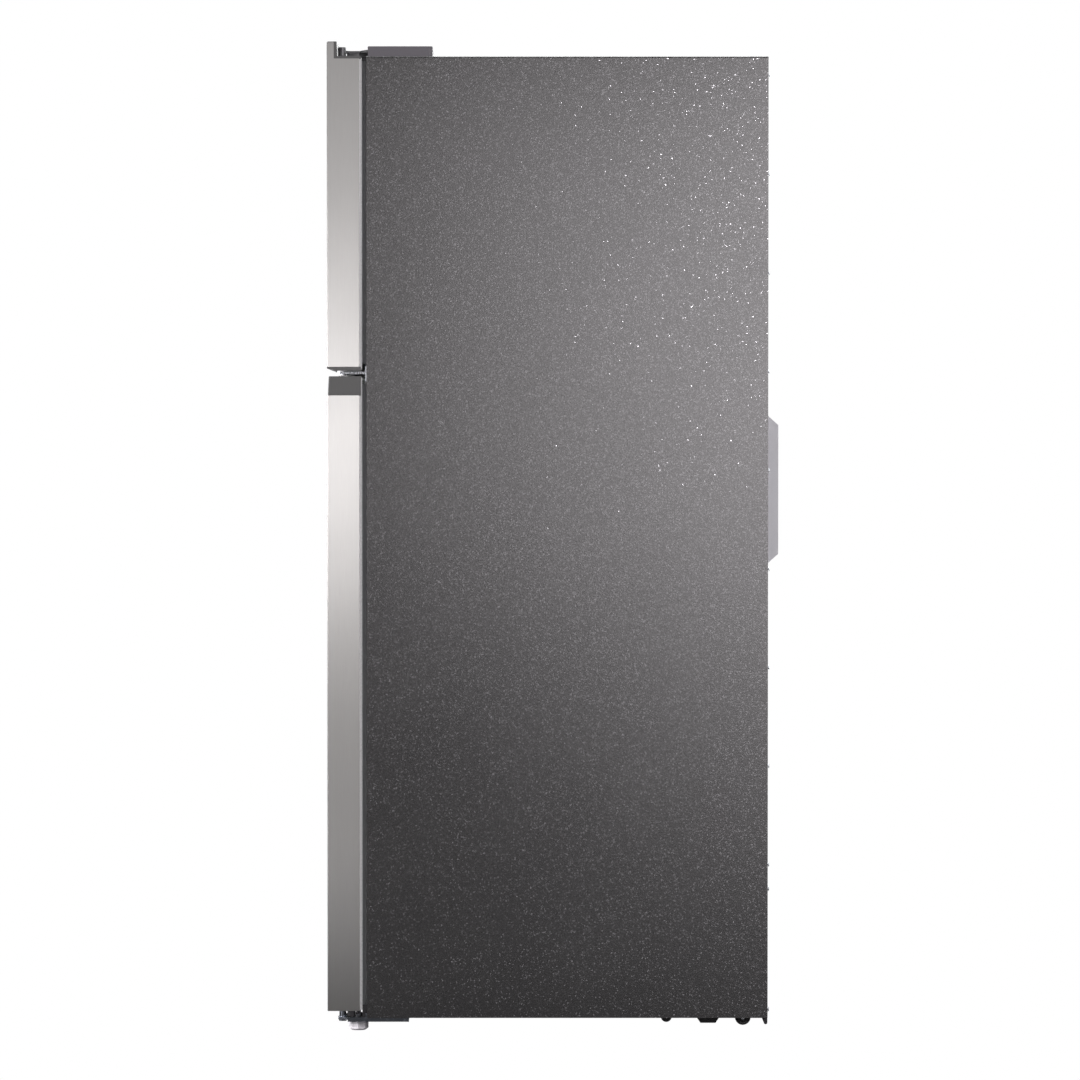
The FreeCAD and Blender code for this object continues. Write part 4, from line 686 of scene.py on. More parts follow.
@dataclass
class RearCovers:
    """The vented compartment cover, the control cover and the cord gland."""

    nodes: dict[str, bpy.types.Object]
    bank_middles: Point = (-0.23, 0.0, 0.23)
    bank_levels: Flat = (0.068, 0.243)
    bank_half: float = 0.088
    hood_count: int = 9
    hood_start: float = 0.087
    hood_pitch: float = 0.018
    hood_half: float = 0.076
    screw_columns: tuple[float, ...] = (-0.36, -0.115, 0.115, 0.36)
    screw_margin: float = 0.012
    screw_radius: float = 0.0045
    screw_height: float = 0.003
    flange_reach: float = 0.008
    rib_count: int = 7
    rib_half: float = 0.0016
    rib_inset: float = 0.08
    rib_margin: float = 0.05
    body: str = "cabinet"

    def dress(self) -> None:
        """Gives the covers their finishes."""
        dress(self.nodes, {"compartment_cover": ZINC_SHEET})
        dress(self.nodes, {"control_cover": PALE_PLASTIC, "cord_gland": RUBBER}, edge=0.0006)

    def build(self) -> None:
        """Adds louvre hoods over the vents, a pressed border, screws and the control cover's flange."""
        cover, control = box_of("compartment_cover"), box_of("control_cover")
        face = cover.high.y
        hoods, border, screws = Shape(), Shape(), Shape()
        below, above = self.bank_levels
        for bank in self.bank_middles:
            for row in range(self.hood_count):
                z = self.hood_start + self.hood_pitch * row
                rings = [[Vector((bank + end, face + out, z + up)) for out, up in HOOD_PROFILE]
                         for end in (-self.hood_half, self.hood_half)]
                hoods.skin(rings, closed=False)
            border.sweep_frame(BORDER_PROFILE, (bank - self.bank_half, below), (bank + self.bank_half, above),
                               face, 0.008)
        hoods.piece("vent_hoods", ZINC_SHEET, self.body)
        border.piece("vent_borders", ZINC_SHEET, self.body)
        for x in self.screw_columns:
            for z in (cover.low.z + self.screw_margin, cover.high.z - self.screw_margin):
                face_screw(screws, (x, face, z), self.screw_radius, self.screw_height)
        screws.piece("vent_cover_screws", ZINC, self.body)

        flange = Shape()
        flange.sweep_frame(FLANGE_PROFILE, (control.low.x - self.flange_reach, control.low.z + 0.0005),
                           (control.high.x + self.flange_reach, control.high.z - 0.0005), control.low.y, 0.006)
        flange.piece("control_cover_flange", PALE_PLASTIC, self.body)
        ribs = Shape()
        for i in range(self.rib_count):
            run = control.size.x - 2 * self.rib_inset
            x = control.low.x + self.rib_inset + i * run / (self.rib_count - 1)
            ribs.block((x - self.rib_half, control.high.y - 0.0022, control.low.z + self.rib_margin),
                       (x + self.rib_half, control.high.y - 0.0002, control.high.z - self.rib_margin),
                       soft=0.0009, steps=2)
        ribs.piece("control_cover_ribs", PALE_PLASTIC, self.body)


SEAM_PROFILE: tuple[Flat, ...] = ((-0.0012, 0.108), (0.0016, 0.1086), (0.0032, 0.1105), (0.0034, 0.1135),
                                  (0.0016, 0.1154), (-0.0012, 0.116))
COLLAR_PROFILE: list[Flat] = [(0.0036, -0.006), (0.0052, -0.005), (0.0056, 0.0), (0.0052, 0.005),
                              (0.0036, 0.006)]
CLIP_PATH: tuple[Point, ...] = ((0.006, -0.030, 0.100), (-0.001, -0.029, 0.1), (-0.0016, -0.02, 0.122),
                                (-0.0016, 0.02, 0.122), (-0.001, 0.029, 0.1), (0.006, 0.030, 0.1))
"""The relay's clip: out from the can's box, across from its middle, and level."""


@dataclass
class MachineBay:
    """Compressor, condenser, fan, pan and tubes at the lower rear."""

    nodes: dict[str, bpy.types.Object]
    can_offset: float = 0.105
    can_radius: float = 0.078
    wire_radius: float = 0.0007
    wire_pitch: float = 0.0065
    wire_gap: float = 0.0034
    wire_overrun: float = 0.004
    wire_margin: float = 0.015
    clip_radius: float = 0.0011
    collar_offset: float = 0.105
    collar_line: Flat = (0.245, 0.150)
    body: str = "cabinet"

    def dress(self) -> None:
        """Gives the bay's parts their finishes."""
        dress(self.nodes, {"compressor": BLACK_STEEL, "compressor_base_plate": BLACK_STEEL,
                           "compressor_grommets": RUBBER, "condenser_coil": BLACK_STEEL,
                           "drain_pan": PAN_PLASTIC, "condenser_fan_motor": PAN_PLASTIC,
                           "refrigerant_lines": COPPER, "roller_pins": ZINC})

    def build(self) -> None:
        """Adds the weld seam, the relay's clip, the tube collar and the condenser's wires."""
        can = box_of("compressor")
        centre = (can.high.x - self.can_offset, can.middle.y, 0.0)
        seam = Shape()
        seam.lathe([(self.can_radius + out, level) for out, level in SEAM_PROFILE], centre, Axis.Z, sides=64)
        seam.piece("compressor_weld_seam", BLACK_STEEL, self.body)
        clip = Shape()
        clip.tube([(can.low.x + out, can.middle.y + across, level) for out, across, level in CLIP_PATH],
                  self.clip_radius)
        clip.piece("relay_spring_clip", ZINC, self.body)
        collars = Shape()
        collars.lathe(COLLAR_PROFILE, (can.middle.x + self.collar_offset, *self.collar_line), Axis.X, sides=24)
        collars.piece("brazed_collars", COPPER, self.body)
        self._wires()

    def _wires(self) -> None:
        """Adds the fine upright wires that are welded to the condenser's tube."""
        coil = box_of("condenser_coil")
        wires = Shape()
        count = int((coil.size.x - 2 * self.wire_margin) / self.wire_pitch)
        foot, top = coil.low.z - self.wire_overrun, coil.high.z + self.wire_overrun
        for layer in (coil.low.y + 0.004, coil.middle.y, coil.high.y - 0.004):
            for i in range(count + 1):
                x = coil.low.x + self.wire_margin + i * self.wire_pitch
                for side in (-1, 1):
                    y = layer + side * self.wire_gap
                    wires.tube([(x, y, foot), (x, y, top)], self.wire_radius, sides=5)
        wires.piece("condenser_wires", BLACK_STEEL, self.body)


@dataclass
class Fan:
    """A moulded axial fan with curved, twisted blades."""

    name: str
    node: str
    body: str
    axis: Axis
    hub: float
    finish: Finish
    blades: int = 5
    steps: int = 8
    chord_steps: int = 6
    bore: float = 0.0018
    root: float = 0.002
    clearance: float = 0.0005
    twist: float = 0.25
    camber: float = 0.0016

    def build(self) -> None:
        """Makes the rotor in the place of its plain node."""
        plain = box_of(self.node)
        i = self.axis.value
        tip = max(plain.size[j] for j in range(3) if j != i) / 2 - self.clearance
        half = plain.size[i] / 2
        centre = tuple(plain.middle)
        shape = Shape()
        shape.lathe([(self.bore, -half * 0.9), (self.hub - 0.002, -half * 0.9), (self.hub, -half * 0.75),
                     (self.hub, half * 0.8), (self.hub - 0.0016, half * 0.95), (self.bore, half * 0.95)],
                    centre, self.axis, sides=48)
        for start in around(self.blades):
            self._blade(shape, centre, start, tip, half)
        shape.piece(self.name, self.finish, self.body, replaces=(self.node,))

    def _blade(self, shape: Shape, centre: Point, start: float, tip: float, half: float) -> None:
        """Adds one blade.

        Args:
            shape: The rotor's mesh.
            centre: The rotor's centre.
            start: The angle at which the blade's root begins.
            tip: The radius of its tip.
            half: Half the rotor's depth.
        """
        rings = []
        for k in range(self.steps + 1):
            share = k / self.steps
            radius = self.hub - self.root + (tip - self.hub + self.root) * share
            sweep = 0.85 + 0.1 * share
            lean = half * (0.82 - 0.12 * share)
            upper, lower = [], []
            for m in range(self.chord_steps + 1):
                part = m / self.chord_steps
                bulge = math.sin(math.pi * part)
                angle = start + (part - 0.5) * sweep + self.twist * share
                along = lean * (2 * part - 1) + self.camber * bulge
                thick = 0.0004 + 0.0007 * bulge
                for side, line in ((1, upper), (-1, lower)):
                    line.append(Vector(centre) + self.axis.spread(radius * math.cos(angle),
                                                                  radius * math.sin(angle),
                                                                  along + side * thick))
            rings.append(upper + lower[::-1])
        shape.skin(rings, closed=False)


# ------------------------------------------------------------------ floor gear and hinges


@dataclass
class FloorGear:
    """Rear rollers and front levelling feet."""

    nodes: dict[str, bpy.types.Object]
    bore: float = 0.0031
    groove: float = 0.0012
    groove_half: float = 0.003
    chamfer: float = 0.0012
    web_inset: float = 0.0015
    thread_pitch: float = 0.0015
    thread_start: float = 0.0188
    thread_root: float = 0.0036
    thread_crest: float = 0.00405

    def dress(self) -> None:
        """Gives the feet their finish."""
        dress(self.nodes, {"levelling_foot_left": FOOT_PLASTIC, "levelling_foot_right": FOOT_PLASTIC},
              edge=0.0006)

    def build(self) -> None:
        """Adds grooved rollers and the threads of the feet."""
        for tag in ("left", "right"):
            self._roller(tag)
            self._thread(tag)

    def _roller(self, tag: str) -> None:
        """Makes one grooved roller in the place of its plain node.

        Args:
            tag: Which roller, left or right.
        """
        wheel = box_of(f"rear_roller_{tag}")
        radius, half = wheel.size.z / 2, wheel.size.x / 2
        near = [(self.bore, -half + 0.002), (radius * 0.42, -half), (radius * 0.5, -half + self.web_inset),
                (radius * 0.78, -half + self.web_inset), (radius - self.chamfer, -half),
                (radius, -half + self.chamfer), (radius, -self.groove_half), (radius - self.groove, -0.002)]
        far = [(reach, -along) for reach, along in reversed(near)]
        roller = Shape()
        roller.lathe(near + far, tuple(wheel.middle), Axis.X, sides=48)
        roller.piece(f"grooved_roller_{tag}", ROLLER_PLASTIC, f"{tag}_roller",
                     replaces=(f"rear_roller_{tag}",))

    def _thread(self, tag: str) -> None:
        """Adds the thread of one foot.

        Args:
            tag: Which foot, left or right.
        """
        foot = box_of(f"levelling_foot_{tag}")
        pitch, low = self.thread_pitch, foot.low.z + self.thread_start
        profile = [(self.thread_root, low)]
        for k in range(int((foot.high.z - low) / pitch)):
            profile += [(self.thread_crest, low + pitch * (k + 0.25)),
                        (self.thread_root, low + pitch * (k + 0.75))]
        profile += [(0.003, foot.high.z - 0.0004), (0.001, foot.high.z - 0.0002), (0.001, low)]
        thread = Shape()
        thread.lathe(profile, (foot.middle.x, foot.middle.y, 0.0), Axis.Z, sides=28)
        thread.piece(f"foot_thread_{tag}", ZINC, f"{tag}_foot")


@dataclass
class Hinges:
    """The three hinges of the doors, their screws and the cover of the upper one."""

    nodes: dict[str, bpy.types.Object]
    pin: Flat
    cone_bore: float = 0.0047
    arm_rise: float = 0.0284
    # Where the dark blocks of painted gap shade sit: across, depth in front of the cabinet, and levels.
    gap_shade_sides: Flat = (0.3658, 0.3698)
    gap_shade_depth: float = 0.0081
    gap_shade_levels: tuple[Flat, Flat] = ((0.0215, 0.047), (1.648, 1.6548))
    body: str = "cabinet"

    def dress(self) -> None:
        """Gives the hinges their finishes."""
        dress(self.nodes, {"top_hinge": DARK_METAL, "top_hinge_cover": COVER_PLASTIC,
                           "middle_hinge": ZINC, "bottom_hinge": DULL_ZINC,
                           "left_foot_bracket": DULL_ZINC}, edge=0.0003)

    def build(self) -> None:
        """Adds the hexagon screws, cone, rivet head, arm skirt, and the dark blocks of painted gap shade."""
        screws = Shape()
        deck = box_of("cabinet_wrapper")
        for spot in solids_of(self.nodes, "hinge_screws"):
            flat = spot.size.y < spot.size.x - 1e-4
            if flat:
                hex_screw(screws, spot, Axis.Y, -1)
            else:
                hex_screw(screws, spot, Axis.Z, 1 if spot.middle.z > deck.middle.z else -1)
        screws.piece("hexagon_flange_screws", ZINC, self.body, replaces=("hinge_screws",))
        self._cone()
        self._rivet_head()
        self._skirt()
        self._gap_shade()

    def _cone(self) -> None:
        """Adds the bright cone that the freezer door turns on at the middle hinge."""
        x, y = self.pin
        sill = box_of("freezer_door_bottom_cap").low.z
        arm_top = box_of("middle_hinge").low.z + self.arm_rise
        cone = Shape()
        cone.lathe([(self.cone_bore, arm_top + 0.0001), (0.0062, arm_top + 0.0001), (0.0084, sill - 0.0001),
                    (self.cone_bore, sill - 0.0001)], (x, y, 0.0), Axis.Z, sides=40)
        cone.piece("middle_hinge_cone", ZINC, self.body)

    def _skirt(self) -> None:
        """Adds the down-turned edge of the upper hinge's arm."""
        x, y = self.pin
        deck = box_of("cabinet_wrapper").high.z
        edge = Shape()
        edge.block((x - 0.0090, y + 0.0080, deck + 0.0016), (x - 0.0069, y + 0.0295, deck + 0.0077),
                   soft=0.0004)
        edge.piece("top_hinge_skirt", DARK_METAL, self.body)

    def _gap_shade(self) -> None:
        """Adds dark blocks beside the seals, one at the top and one at the bottom, as painted gap shade."""
        face = box_of("cabinet_wrapper").low.y
        shade_fill = Shape()
        inner, outer = self.gap_shade_sides
        # Dark plastic blocks that paint the shade of the gap between door and cabinet.
        for low, high in self.gap_shade_levels:
            shade_fill.block((inner, face - self.gap_shade_depth, low), (outer, face - 0.0001, high), soft=0.0006)
        shade_fill.piece("gap_shade_blocks", DARK_PLASTIC, self.body)

    def _rivet_head(self) -> None:
        """Adds the round end under the lower hinge's pin."""
        x, y = self.pin
        plate = box_of("bottom_hinge")
        head = Shape()
        head.stack([(0.0042, plate.low.z + 0.0002), (0.0062, plate.low.z + 0.0010),
                    (0.0072, plate.low.z + 0.0024), (0.0072, plate.low.z + 0.0044)],
                   (x, y, 0.0), Axis.Z, sides=32)
        head.piece("bottom_hinge_rivet_head", ZINC, self.body)


# ------------------------------------------------------------------ doors


SEAL_PROFILE: list[Flat] = [
    (0.0006, 0.0000), (0.0150, 0.0000), (0.0150, 0.0010), (0.0125, 0.0013), (0.0136, 0.0022),
    (0.0122, 0.0031), (0.0138, 0.0042), (0.0145, 0.0050), (0.0176, 0.0056), (0.0180, 0.0064),
    (0.0174, 0.0073), (0.0140, 0.0077), (0.0040, 0.0077), (0.0006, 0.0073), (0.0000, 0.0064),
    (0.0004, 0.0056), (0.0014, 0.0050), (0.0016, 0.0042), (0.0024, 0.0031), (0.0014, 0.0022),
    (0.0020, 0.0013), (0.0006, 0.0010),
]
"""The bellows seal: inset from its outer edge and depth from the door."""


@dataclass
class Door:
    """One door: skin, caps, foam, inner pan, seal, bins and bushes."""

    nodes: dict[str, bpy.types.Object]
    name: str
    seal_reach: Flat
    seal_spread: float = 0.009
    seal_corner: float = 0.0015
    rim_radius: float = 0.0021
    bin_inset: float = 0.0012
    bin_bend: float = 0.009
    bend_steps: int = 5
    rib_count: int = 13
    rib_margin: float = 0.03
    rib_half: float = 0.0008
    rib_setback: float = 0.012

    @property
    def body(self) -> str:
        """The body that the door rides on."""
        return f"{self.name}_door"

    def dress(self) -> None:
        """Gives the door's parts their finishes."""
        own = self.body
        dress(self.nodes, {f"{own}_skin": DOOR_STEEL}, edge=0.00025)
        dress(self.nodes, {f"{own}_top_cap": CAP_PLASTIC, f"{own}_bottom_cap": CAP_PLASTIC,
                           f"{own}_liner": LINER}, edge=0.0004)
        dress(self.nodes, {f"{own}_foam": FOAM, f"{own}_bins": CLEAR, f"{own}_bushes": WHITE})

    def build(self) -> None:
        """Adds the bellows seal, and the rims, ribs and hooks of the bins."""
        seal = box_of(f"{self.body}_gasket")
        shape = Shape()
        scale = seal.size.y / max(depth for _, depth in SEAL_PROFILE)
        below, above = self.seal_reach
        shape.sweep_frame([(inset, depth * scale) for inset, depth in SEAL_PROFILE],
                          (seal.low.x - self.seal_spread, seal.low.z - below),
                          (seal.high.x + self.seal_spread, seal.high.z + above), seal.low.y,
                          self.seal_corner)
        shape.piece(f"{self.name}_seal", SEAL_VINYL, self.body, replaces=(f"{self.body}_gasket",))
        rims, ribs, hooks = Shape(), Shape(), Shape()
        for spot in solids_of(self.nodes, f"{self.body}_bins"):
            self._bin_details(spot, rims, ribs, hooks)
        rims.piece(f"{self.name}_bin_rims", WHITE, self.body)
        ribs.piece(f"{self.name}_bin_ribs", CLEAR, self.body)
        hooks.piece(f"{self.name}_bin_hooks", LINER, self.body)

    def _bin_details(self, spot: Box, rims: Shape, ribs: Shape, hooks: Shape) -> None:
        """Adds the rim, floor ribs and end hooks of one bin.

        Args:
            spot: The bin's box.
            rims: The mesh of the rims.
            ribs: The mesh of the ribs.
            hooks: The mesh of the hooks.
        """
        bend, steps = self.bin_bend, self.bend_steps
        front, back = spot.low.y + self.bin_inset, spot.high.y - 0.004
        left, right = spot.low.x + self.bin_inset, spot.high.x - self.bin_inset
        z = spot.high.z - 0.0016
        path = [(left, back, z)]
        for i in range(steps + 1):
            a = math.pi / 2 * i / steps
            path.append((left + bend * (1 - math.cos(a)), front + bend * (1 - math.sin(a)), z))
        for i in range(steps + 1):
            a = math.pi / 2 * (1 - i / steps)
            path.append((right - bend * (1 - math.cos(a)), front + bend * (1 - math.sin(a)), z))
        path.append((right, back, z))
        rims.tube(path, self.rim_radius)
        run = right - left - 2 * self.rib_margin
        for i in range(self.rib_count):
            x = left + self.rib_margin + i * run / (self.rib_count - 1)
            ribs.block((x - self.rib_half, front + self.rib_setback, spot.low.z + 0.0024),
                       (x + self.rib_half, back - self.rib_setback, spot.low.z + 0.0038), soft=0.0005)
        for side, x in ((-1, spot.low.x), (1, spot.high.x)):
            low, high = sorted((x + side * 0.0002, x + side * 0.0019))
            hooks.block((low, back - 0.03, spot.high.z - 0.028), (high, back - 0.006, spot.high.z - 0.006),
                        soft=0.0006)


# ------------------------------------------------------------------ interior


@dataclass
class Interior:
    """Shelves, air duct, evaporator, lamp, knobs and drawers."""

    nodes: dict[str, bpy.types.Object]
    rail_levels: Point = (0.430, 0.685, 0.935)
    rail_gap: float = 0.016
    rail_height: float = 0.005
    rail_width: float = 0.0055
    bend_rows: int = 5
    bend_start: float = 0.033
    bend_pitch: float = 0.037
    bend_radius: float = 0.010
    bend_steps: int = 8
    tube_radius: float = 0.0040
    ridge_count: int = 36
    ridge_span: Flat = (0.0035, 0.0115)
    dot_count: int = 8
    dot_reach: float = 0.007
    knob_turn: float = 270.0
    panel_depth: float = 0.0170
    lamp_rib_count: int = 19
    lamp_margin: float = 0.012
    drawer_front: float = 0.009
    drawer_inset: float = 0.0014
    drawer_rib_count: int = 9
    drawer_margin: float = 0.02
    body: str = "cabinet"

    def dress(self) -> None:
        """Gives the fittings their finishes."""
        dress(self.nodes, {"fridge_glass_shelves": GLASS, "freezer_shelf": GLASS, "evaporator": ALUMINIUM,
                           "evaporator_fan_motor": ZINC, "crisper_left": CLEAR, "crisper_right": CLEAR})
        dress(self.nodes, {"shelf_trims": WHITE, "crisper_frame": WHITE, "air_duct_cover": LINER,
                           "evaporator_cover": LINER, "lamp_cover": LENS}, edge=0.0005)
        dress(self.nodes, {"fridge_control_knob": WHITE, "freezer_control_knob": WHITE}, edge=0.0008)

    def build(self) -> None:
        """Adds ribs on the liner, return bends, knob ridges and scales, lamp ribs and drawer rims."""
        self._liner_ribs()
        self._return_bends()
        for node, body in (("fridge_control_knob", "fridge_knob"), ("freezer_control_knob", "freezer_knob")):
            self._knob(node, body)
        self._lamp_ribs()
        for tag in ("left", "right"):
            self._drawer(tag)

    def _liner_ribs(self) -> None:
        """Adds spare shelf rails to the fresh food liner's side walls."""
        shelf, liner = box_of("fridge_glass_shelves"), box_of("fridge_liner")
        ribs = Shape()
        wall = liner.high.x - 0.0015
        for level in self.rail_levels:
            for side in (-1, 1):
                for up in (0.0, self.rail_gap):
                    low, high = sorted((side * (wall - self.rail_width), side * (wall + SINK)))
                    ribs.block((low, shelf.low.y + 0.02, level + up),
                               (high, shelf.high.y - 0.03, level + up + self.rail_height), soft=0.0018, steps=3)
        ribs.piece("liner_shelf_rails", LINER, self.body)

    def _return_bends(self) -> None:
        """Adds the bends that join the evaporator's tubes at each end."""
        coil = box_of("evaporator")
        bends = Shape()
        front, back = coil.low.y + 0.010, coil.low.y + 0.030
        middle, radius = (front + back) / 2, self.bend_radius
        for side, x in ((-1, coil.low.x + 0.001), (1, coil.high.x - 0.001)):
            for row in range(self.bend_rows):
                z = coil.low.z + self.bend_start + self.bend_pitch * row
                angles = [math.pi * i / self.bend_steps for i in range(self.bend_steps + 1)]
                path = [(x + side * radius * math.sin(a), middle - radius * math.cos(a), z) for a in angles]
                bends.tube(path, self.tube_radius, sides=12)
        bends.piece("evaporator_return_bends", ALUMINIUM, self.body)

    def _knob(self, node: str, body: str) -> None:
        """Adds grip ridges to a knob, and a scale of dots round it.

        Args:
            node: The knob's node.
            body: The body that it turns with.
        """
        knob = box_of(node)
        grip = knob.size.x / 2 - 0.005
        low, high = (knob.low.y + depth for depth in self.ridge_span)
        ridges = Shape()
        for angle in around(self.ridge_count):
            centre = (knob.middle.x + grip * math.cos(angle), 0.0, knob.middle.z + grip * math.sin(angle))
            ridges.stack([(0.0005, low), (0.0008, low + 0.0006), (0.0008, high)], centre, Axis.Y, sides=8)
        ridges.piece(f"{node}_ridges", WHITE, body)
        pointer = Shape()
        pointer.block((knob.middle.x - 0.0007, knob.low.y - 0.0001, knob.middle.z + 0.002),
                      (knob.middle.x + 0.0007, knob.low.y + 0.0004, knob.high.z - 0.003), soft=0.0001)
        pointer.piece(f"{node}_pointer", MARKING, body)
        wall = knob.low.y + self.panel_depth
        dots = Shape()
        reach = knob.size.x / 2 + self.dot_reach
        for i in range(self.dot_count):
            angle = math.pi / 2 - math.radians(self.knob_turn) * i / (self.dot_count - 1)
            centre = (knob.middle.x + reach * math.cos(angle), 0.0, knob.middle.z + reach * math.sin(angle))
            size = 0.0009 + 0.00018 * i
            dots.stack([(size * 0.8, wall - 0.0004), (size, wall - 0.0002), (size, wall + 0.0004)], centre,
                       Axis.Y, sides=16)
        dots.piece(f"{node}_scale", MARKING, self.body)

    def _lamp_ribs(self) -> None:
        """Adds the light-spreading ribs of the lamp cover."""
        lamp = box_of("lamp_cover")
        ribs = Shape()
        run, depth = lamp.size.x - 2 * self.lamp_margin, lamp.low.y + 0.0006
        for i in range(self.lamp_rib_count):
            x = lamp.low.x + self.lamp_margin + i * run / (self.lamp_rib_count - 1)
            ribs.tube([(x, depth, lamp.low.z + 0.006), (x, depth, lamp.high.z - 0.006)], 0.0012, sides=8)
        ribs.piece("lamp_cover_ribs", LENS, self.body)

    def _drawer(self, tag: str) -> None:
        """Adds the rim and the floor ribs of a drawer.

        Args:
            tag: Which drawer, left or right.
        """
        drawer = box_of(f"crisper_{tag}")
        front = drawer.low.y + self.drawer_front
        middle = ((drawer.low.x + drawer.high.x) / 2, (front + drawer.high.y) / 2)
        half = ((drawer.high.x - drawer.low.x) / 2 - self.drawer_inset,
                (drawer.high.y - front) / 2 - self.drawer_inset)
        rim = Shape()
        rim.tube([(middle[0] + x, middle[1] + y, drawer.high.z - 0.0012)
                  for x, y in rounded_ring(half, 0.008)], 0.0016, closed=True)
        rim.piece(f"crisper_rim_{tag}", WHITE, f"{tag}_crisper")
        ribs = Shape()
        margin, count = self.drawer_margin, self.drawer_rib_count
        for i in range(count):
            y = front + margin + i * (drawer.high.y - front - 2 * margin) / (count - 1)
            ribs.block((drawer.low.x + margin, y - 0.001, drawer.low.z + 0.0024),
                       (drawer.high.x - margin, y + 0.001, drawer.low.z + 0.0042), soft=0.0007)
        ribs.piece(f"crisper_ribs_{tag}", CLEAR, f"{tag}_crisper")


# ------------------------------------------------------------------ stage


def facing(place: Point, aim: Point) -> Euler:
    """Returns the turn that lets a camera or light at one point look at another."""
    return (Vector(aim) - Vector(place)).to_track_quat("-Z", "Y").to_euler()


@dataclass(frozen=True)
class Panel:
    """A soft light: where it is, where it points, its size in metres and its power in watts."""

    name: str
    place: Point
    aim: Point
    size: Flat
    power: float
    tint: Colour = (1.0, 0.957, 0.978)

    def hang(self) -> None:
        """Makes the light."""
        lamp = bpy.data.lights.new(self.name, "AREA")
        lamp.shape = "RECTANGLE"
        lamp.size, lamp.size_y = self.size
        lamp.energy = self.power
        lamp.color = self.tint
        made = bpy.data.objects.new(self.name, lamp)
        made.location = self.place
        made.rotation_euler = facing(self.place, self.aim)
        made.visible_camera = False
        bpy.context.scene.collection.objects.link(made)


WHITE_LIGHT: Colour = (1.0, 1.0, 1.0)

PANELS: tuple[Panel, ...] = (
    Panel("side_panel_high", (3.6, 1.32, 1.385), (0.38, 0.1, 1.05), (3.78, 1.57), 29.5),
    Panel("side_panel_low", (3.61, 1.588, 0.74), (0.38, 0.1, 1.05), (2.94, 2.30), 25.0),
    Panel("sparkle_lamp", (3.2, 1.38, 2.25), (0.38, 0.3, 1.4), (0.30, 0.30), 17.0),
    Panel("door_panel", (2.1, -2.5, 1.023), (0.38, -0.3, 1.04), (1.32, 0.67), 66.0),
    Panel("low_panel", (1.9, -1.7, 0.10), (0.36, -0.33, 0.08), (0.9, 0.16), 6.0),
    Panel("front_panel", (-2.1, -4.2, 1.9), (-0.4, -0.3, 0.9), (4.2, 3.4), 190.0, WHITE_LIGHT),
    Panel("rear_panel", (-1.6, 4.0, 2.0), (-0.2, 0.3, 0.9), (3.2, 3.2), 190.0, WHITE_LIGHT),
    Panel("far_panel", (-4.2, 0.4, 1.6), (-0.4, 0.0, 0.9), (3.2, 3.2), 200.0, WHITE_LIGHT),
    Panel("overhead_panel", (-0.2, 0.0, 3.9), (-0.2, 0.0, 0.0), (2.0, 2.0), 60.0, WHITE_LIGHT),
)


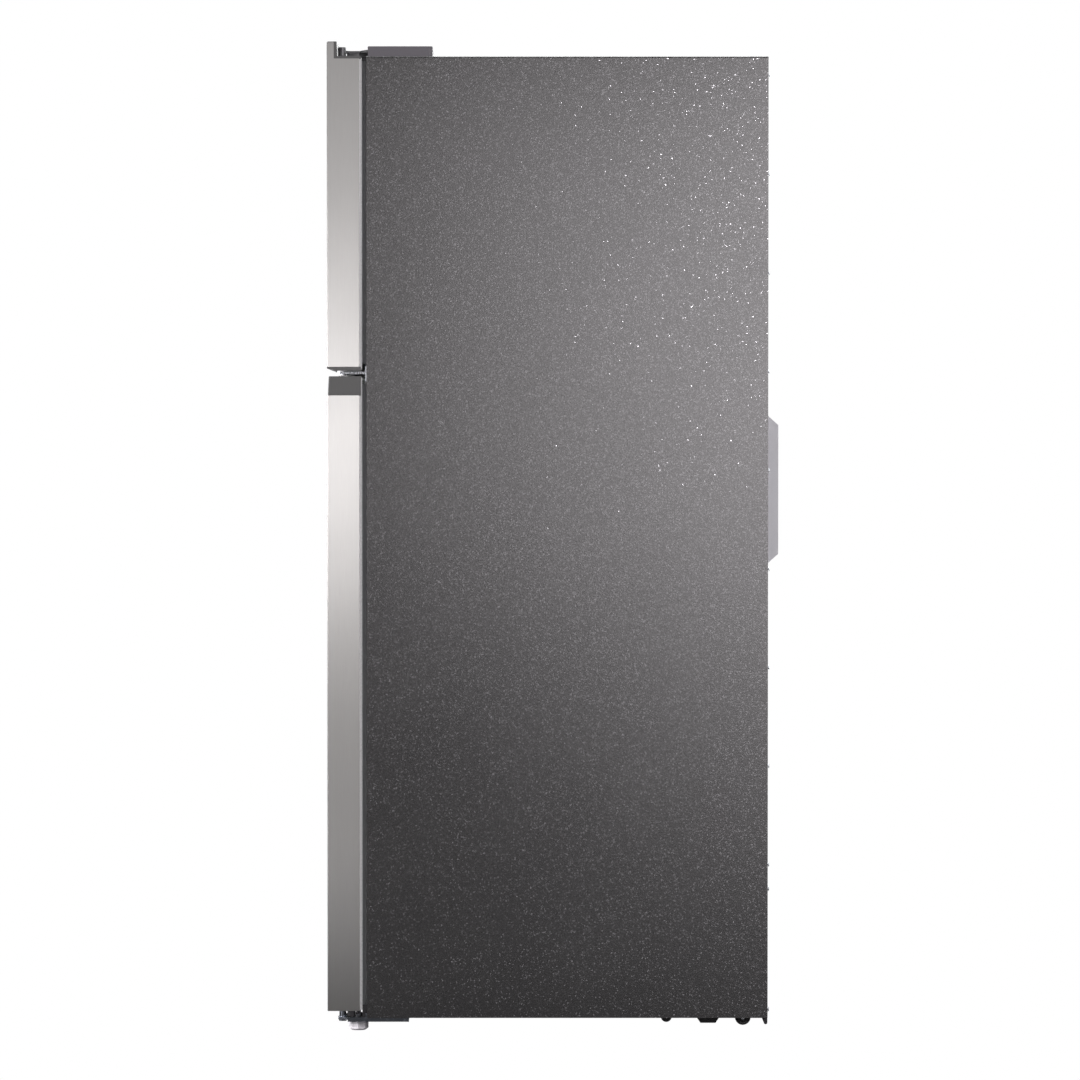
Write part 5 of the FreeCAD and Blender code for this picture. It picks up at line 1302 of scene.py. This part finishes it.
@dataclass
class Stage:
    """The camera, floor, surroundings and lights."""

    eye: Point = (7.3775, -0.0248, 0.98)
    aim: Point = (0.3775, -0.0248, 0.8374)
    lens: float = 137.8
    sensor: float = 36.0
    surroundings: float = 0.04
    floor_half: float = 40.0
    floor_colour: Colour = (0.10, 0.10, 0.10)

    def set_camera(self) -> None:
        """Puts the camera square to the hinge side."""
        data = bpy.data.cameras.new("camera")
        data.lens = self.lens
        data.sensor_width = self.sensor
        data.dof.use_dof = False
        camera = bpy.data.objects.new("camera", data)
        camera.location = self.eye
        camera.rotation_euler = facing(self.eye, self.aim)
        bpy.context.scene.collection.objects.link(camera)
        bpy.context.scene.camera = camera

    def set_surroundings(self) -> None:
        """Makes a plain white backdrop that lights the appliance softly."""
        world = bpy.data.worlds.new("studio")
        world.use_nodes = True
        tree = world.node_tree
        seen = tree.nodes["Background"]
        seen.inputs["Color"].default_value = FULL_WHITE
        soft = add_node(tree, "Background", {"Color": FULL_WHITE, "Strength": self.surroundings})
        ray = add_node(tree, "LightPath")
        mix = add_node(tree, "MixShader", {"Fac": ray.outputs["Is Camera Ray"], 1: soft.outputs["Background"],
                                           2: seen.outputs["Background"]})
        tree.links.new(mix.outputs["Shader"], tree.nodes["World Output"].inputs["Surface"])
        bpy.context.scene.world = world
        bpy.context.scene.view_settings.view_transform = "Standard"

    def set_floor(self) -> None:
        """Makes the plain pale floor."""
        shape = bmesh.new()
        bmesh.ops.create_grid(shape, x_segments=1, y_segments=1, size=self.floor_half)
        data = bpy.data.meshes.new("studio_floor")
        shape.to_mesh(data)
        shape.free()
        floor = bpy.data.objects.new("studio_floor", data)
        bpy.context.scene.collection.objects.link(floor)
        pale = bpy.data.materials.new("pale_floor")
        pale.use_nodes = True
        tree = pale.node_tree
        shader = tree.nodes["Principled BSDF"]
        shader.inputs["Base Color"].default_value = (*self.floor_colour, 1.0)
        shader.inputs["Roughness"].default_value = 0.9
        shader.inputs["Specular IOR Level"].default_value = 0.0
        glow = add_node(tree, "Emission", {"Strength": 1.0})
        ray = add_node(tree, "LightPath")
        mix = add_node(tree, "MixShader", {"Fac": ray.outputs["Is Camera Ray"], 1: shader.outputs["BSDF"],
                                           2: glow.outputs["Emission"]})
        tree.links.new(mix.outputs["Shader"], tree.nodes["Material Output"].inputs["Surface"])
        data.materials.append(pale)

    def build(self) -> None:
        """Makes everything round the appliance except the camera."""
        self.set_surroundings()
        self.set_floor()
        for panel in PANELS:
            panel.hang()


def main() -> None:
    """Builds the looks of the appliance round its frame."""
    logging.basicConfig(level=logging.INFO, format="%(message)s")
    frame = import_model()
    nodes = frame["nodes"]
    hinge = next(j for j in frame["joints"] if j["name"] == "fridge_door_hinge")
    pin = (hinge["pos_m"][0], hinge["pos_m"][1])
    stage = Stage()
    stage.set_camera()
    for assembly in (Cabinet(nodes), RearCovers(nodes), MachineBay(nodes), FloorGear(nodes),
                     Hinges(nodes, pin), Door(nodes, "freezer", (0.0, 0.006)),
                     Door(nodes, "fridge", (0.0085, 0.0)), Interior(nodes)):
        LOG.info("sub-assembly %s", type(assembly).__name__)
        assembly.dress()
        assembly.build()
    dress(nodes, {"door_closer": DARK_PLASTIC}, edge=0.0004)
    Fan("condenser_fan_rotor", "condenser_fan_blade", "condenser_fan", Axis.X, 0.016, DARK_PLASTIC).build()
    Fan("evaporator_fan_rotor", "evaporator_fan_blade", "evaporator_fan", Axis.Y, 0.014, WHITE).build()
    stage.build()


if __name__ == "__main__":
    main()
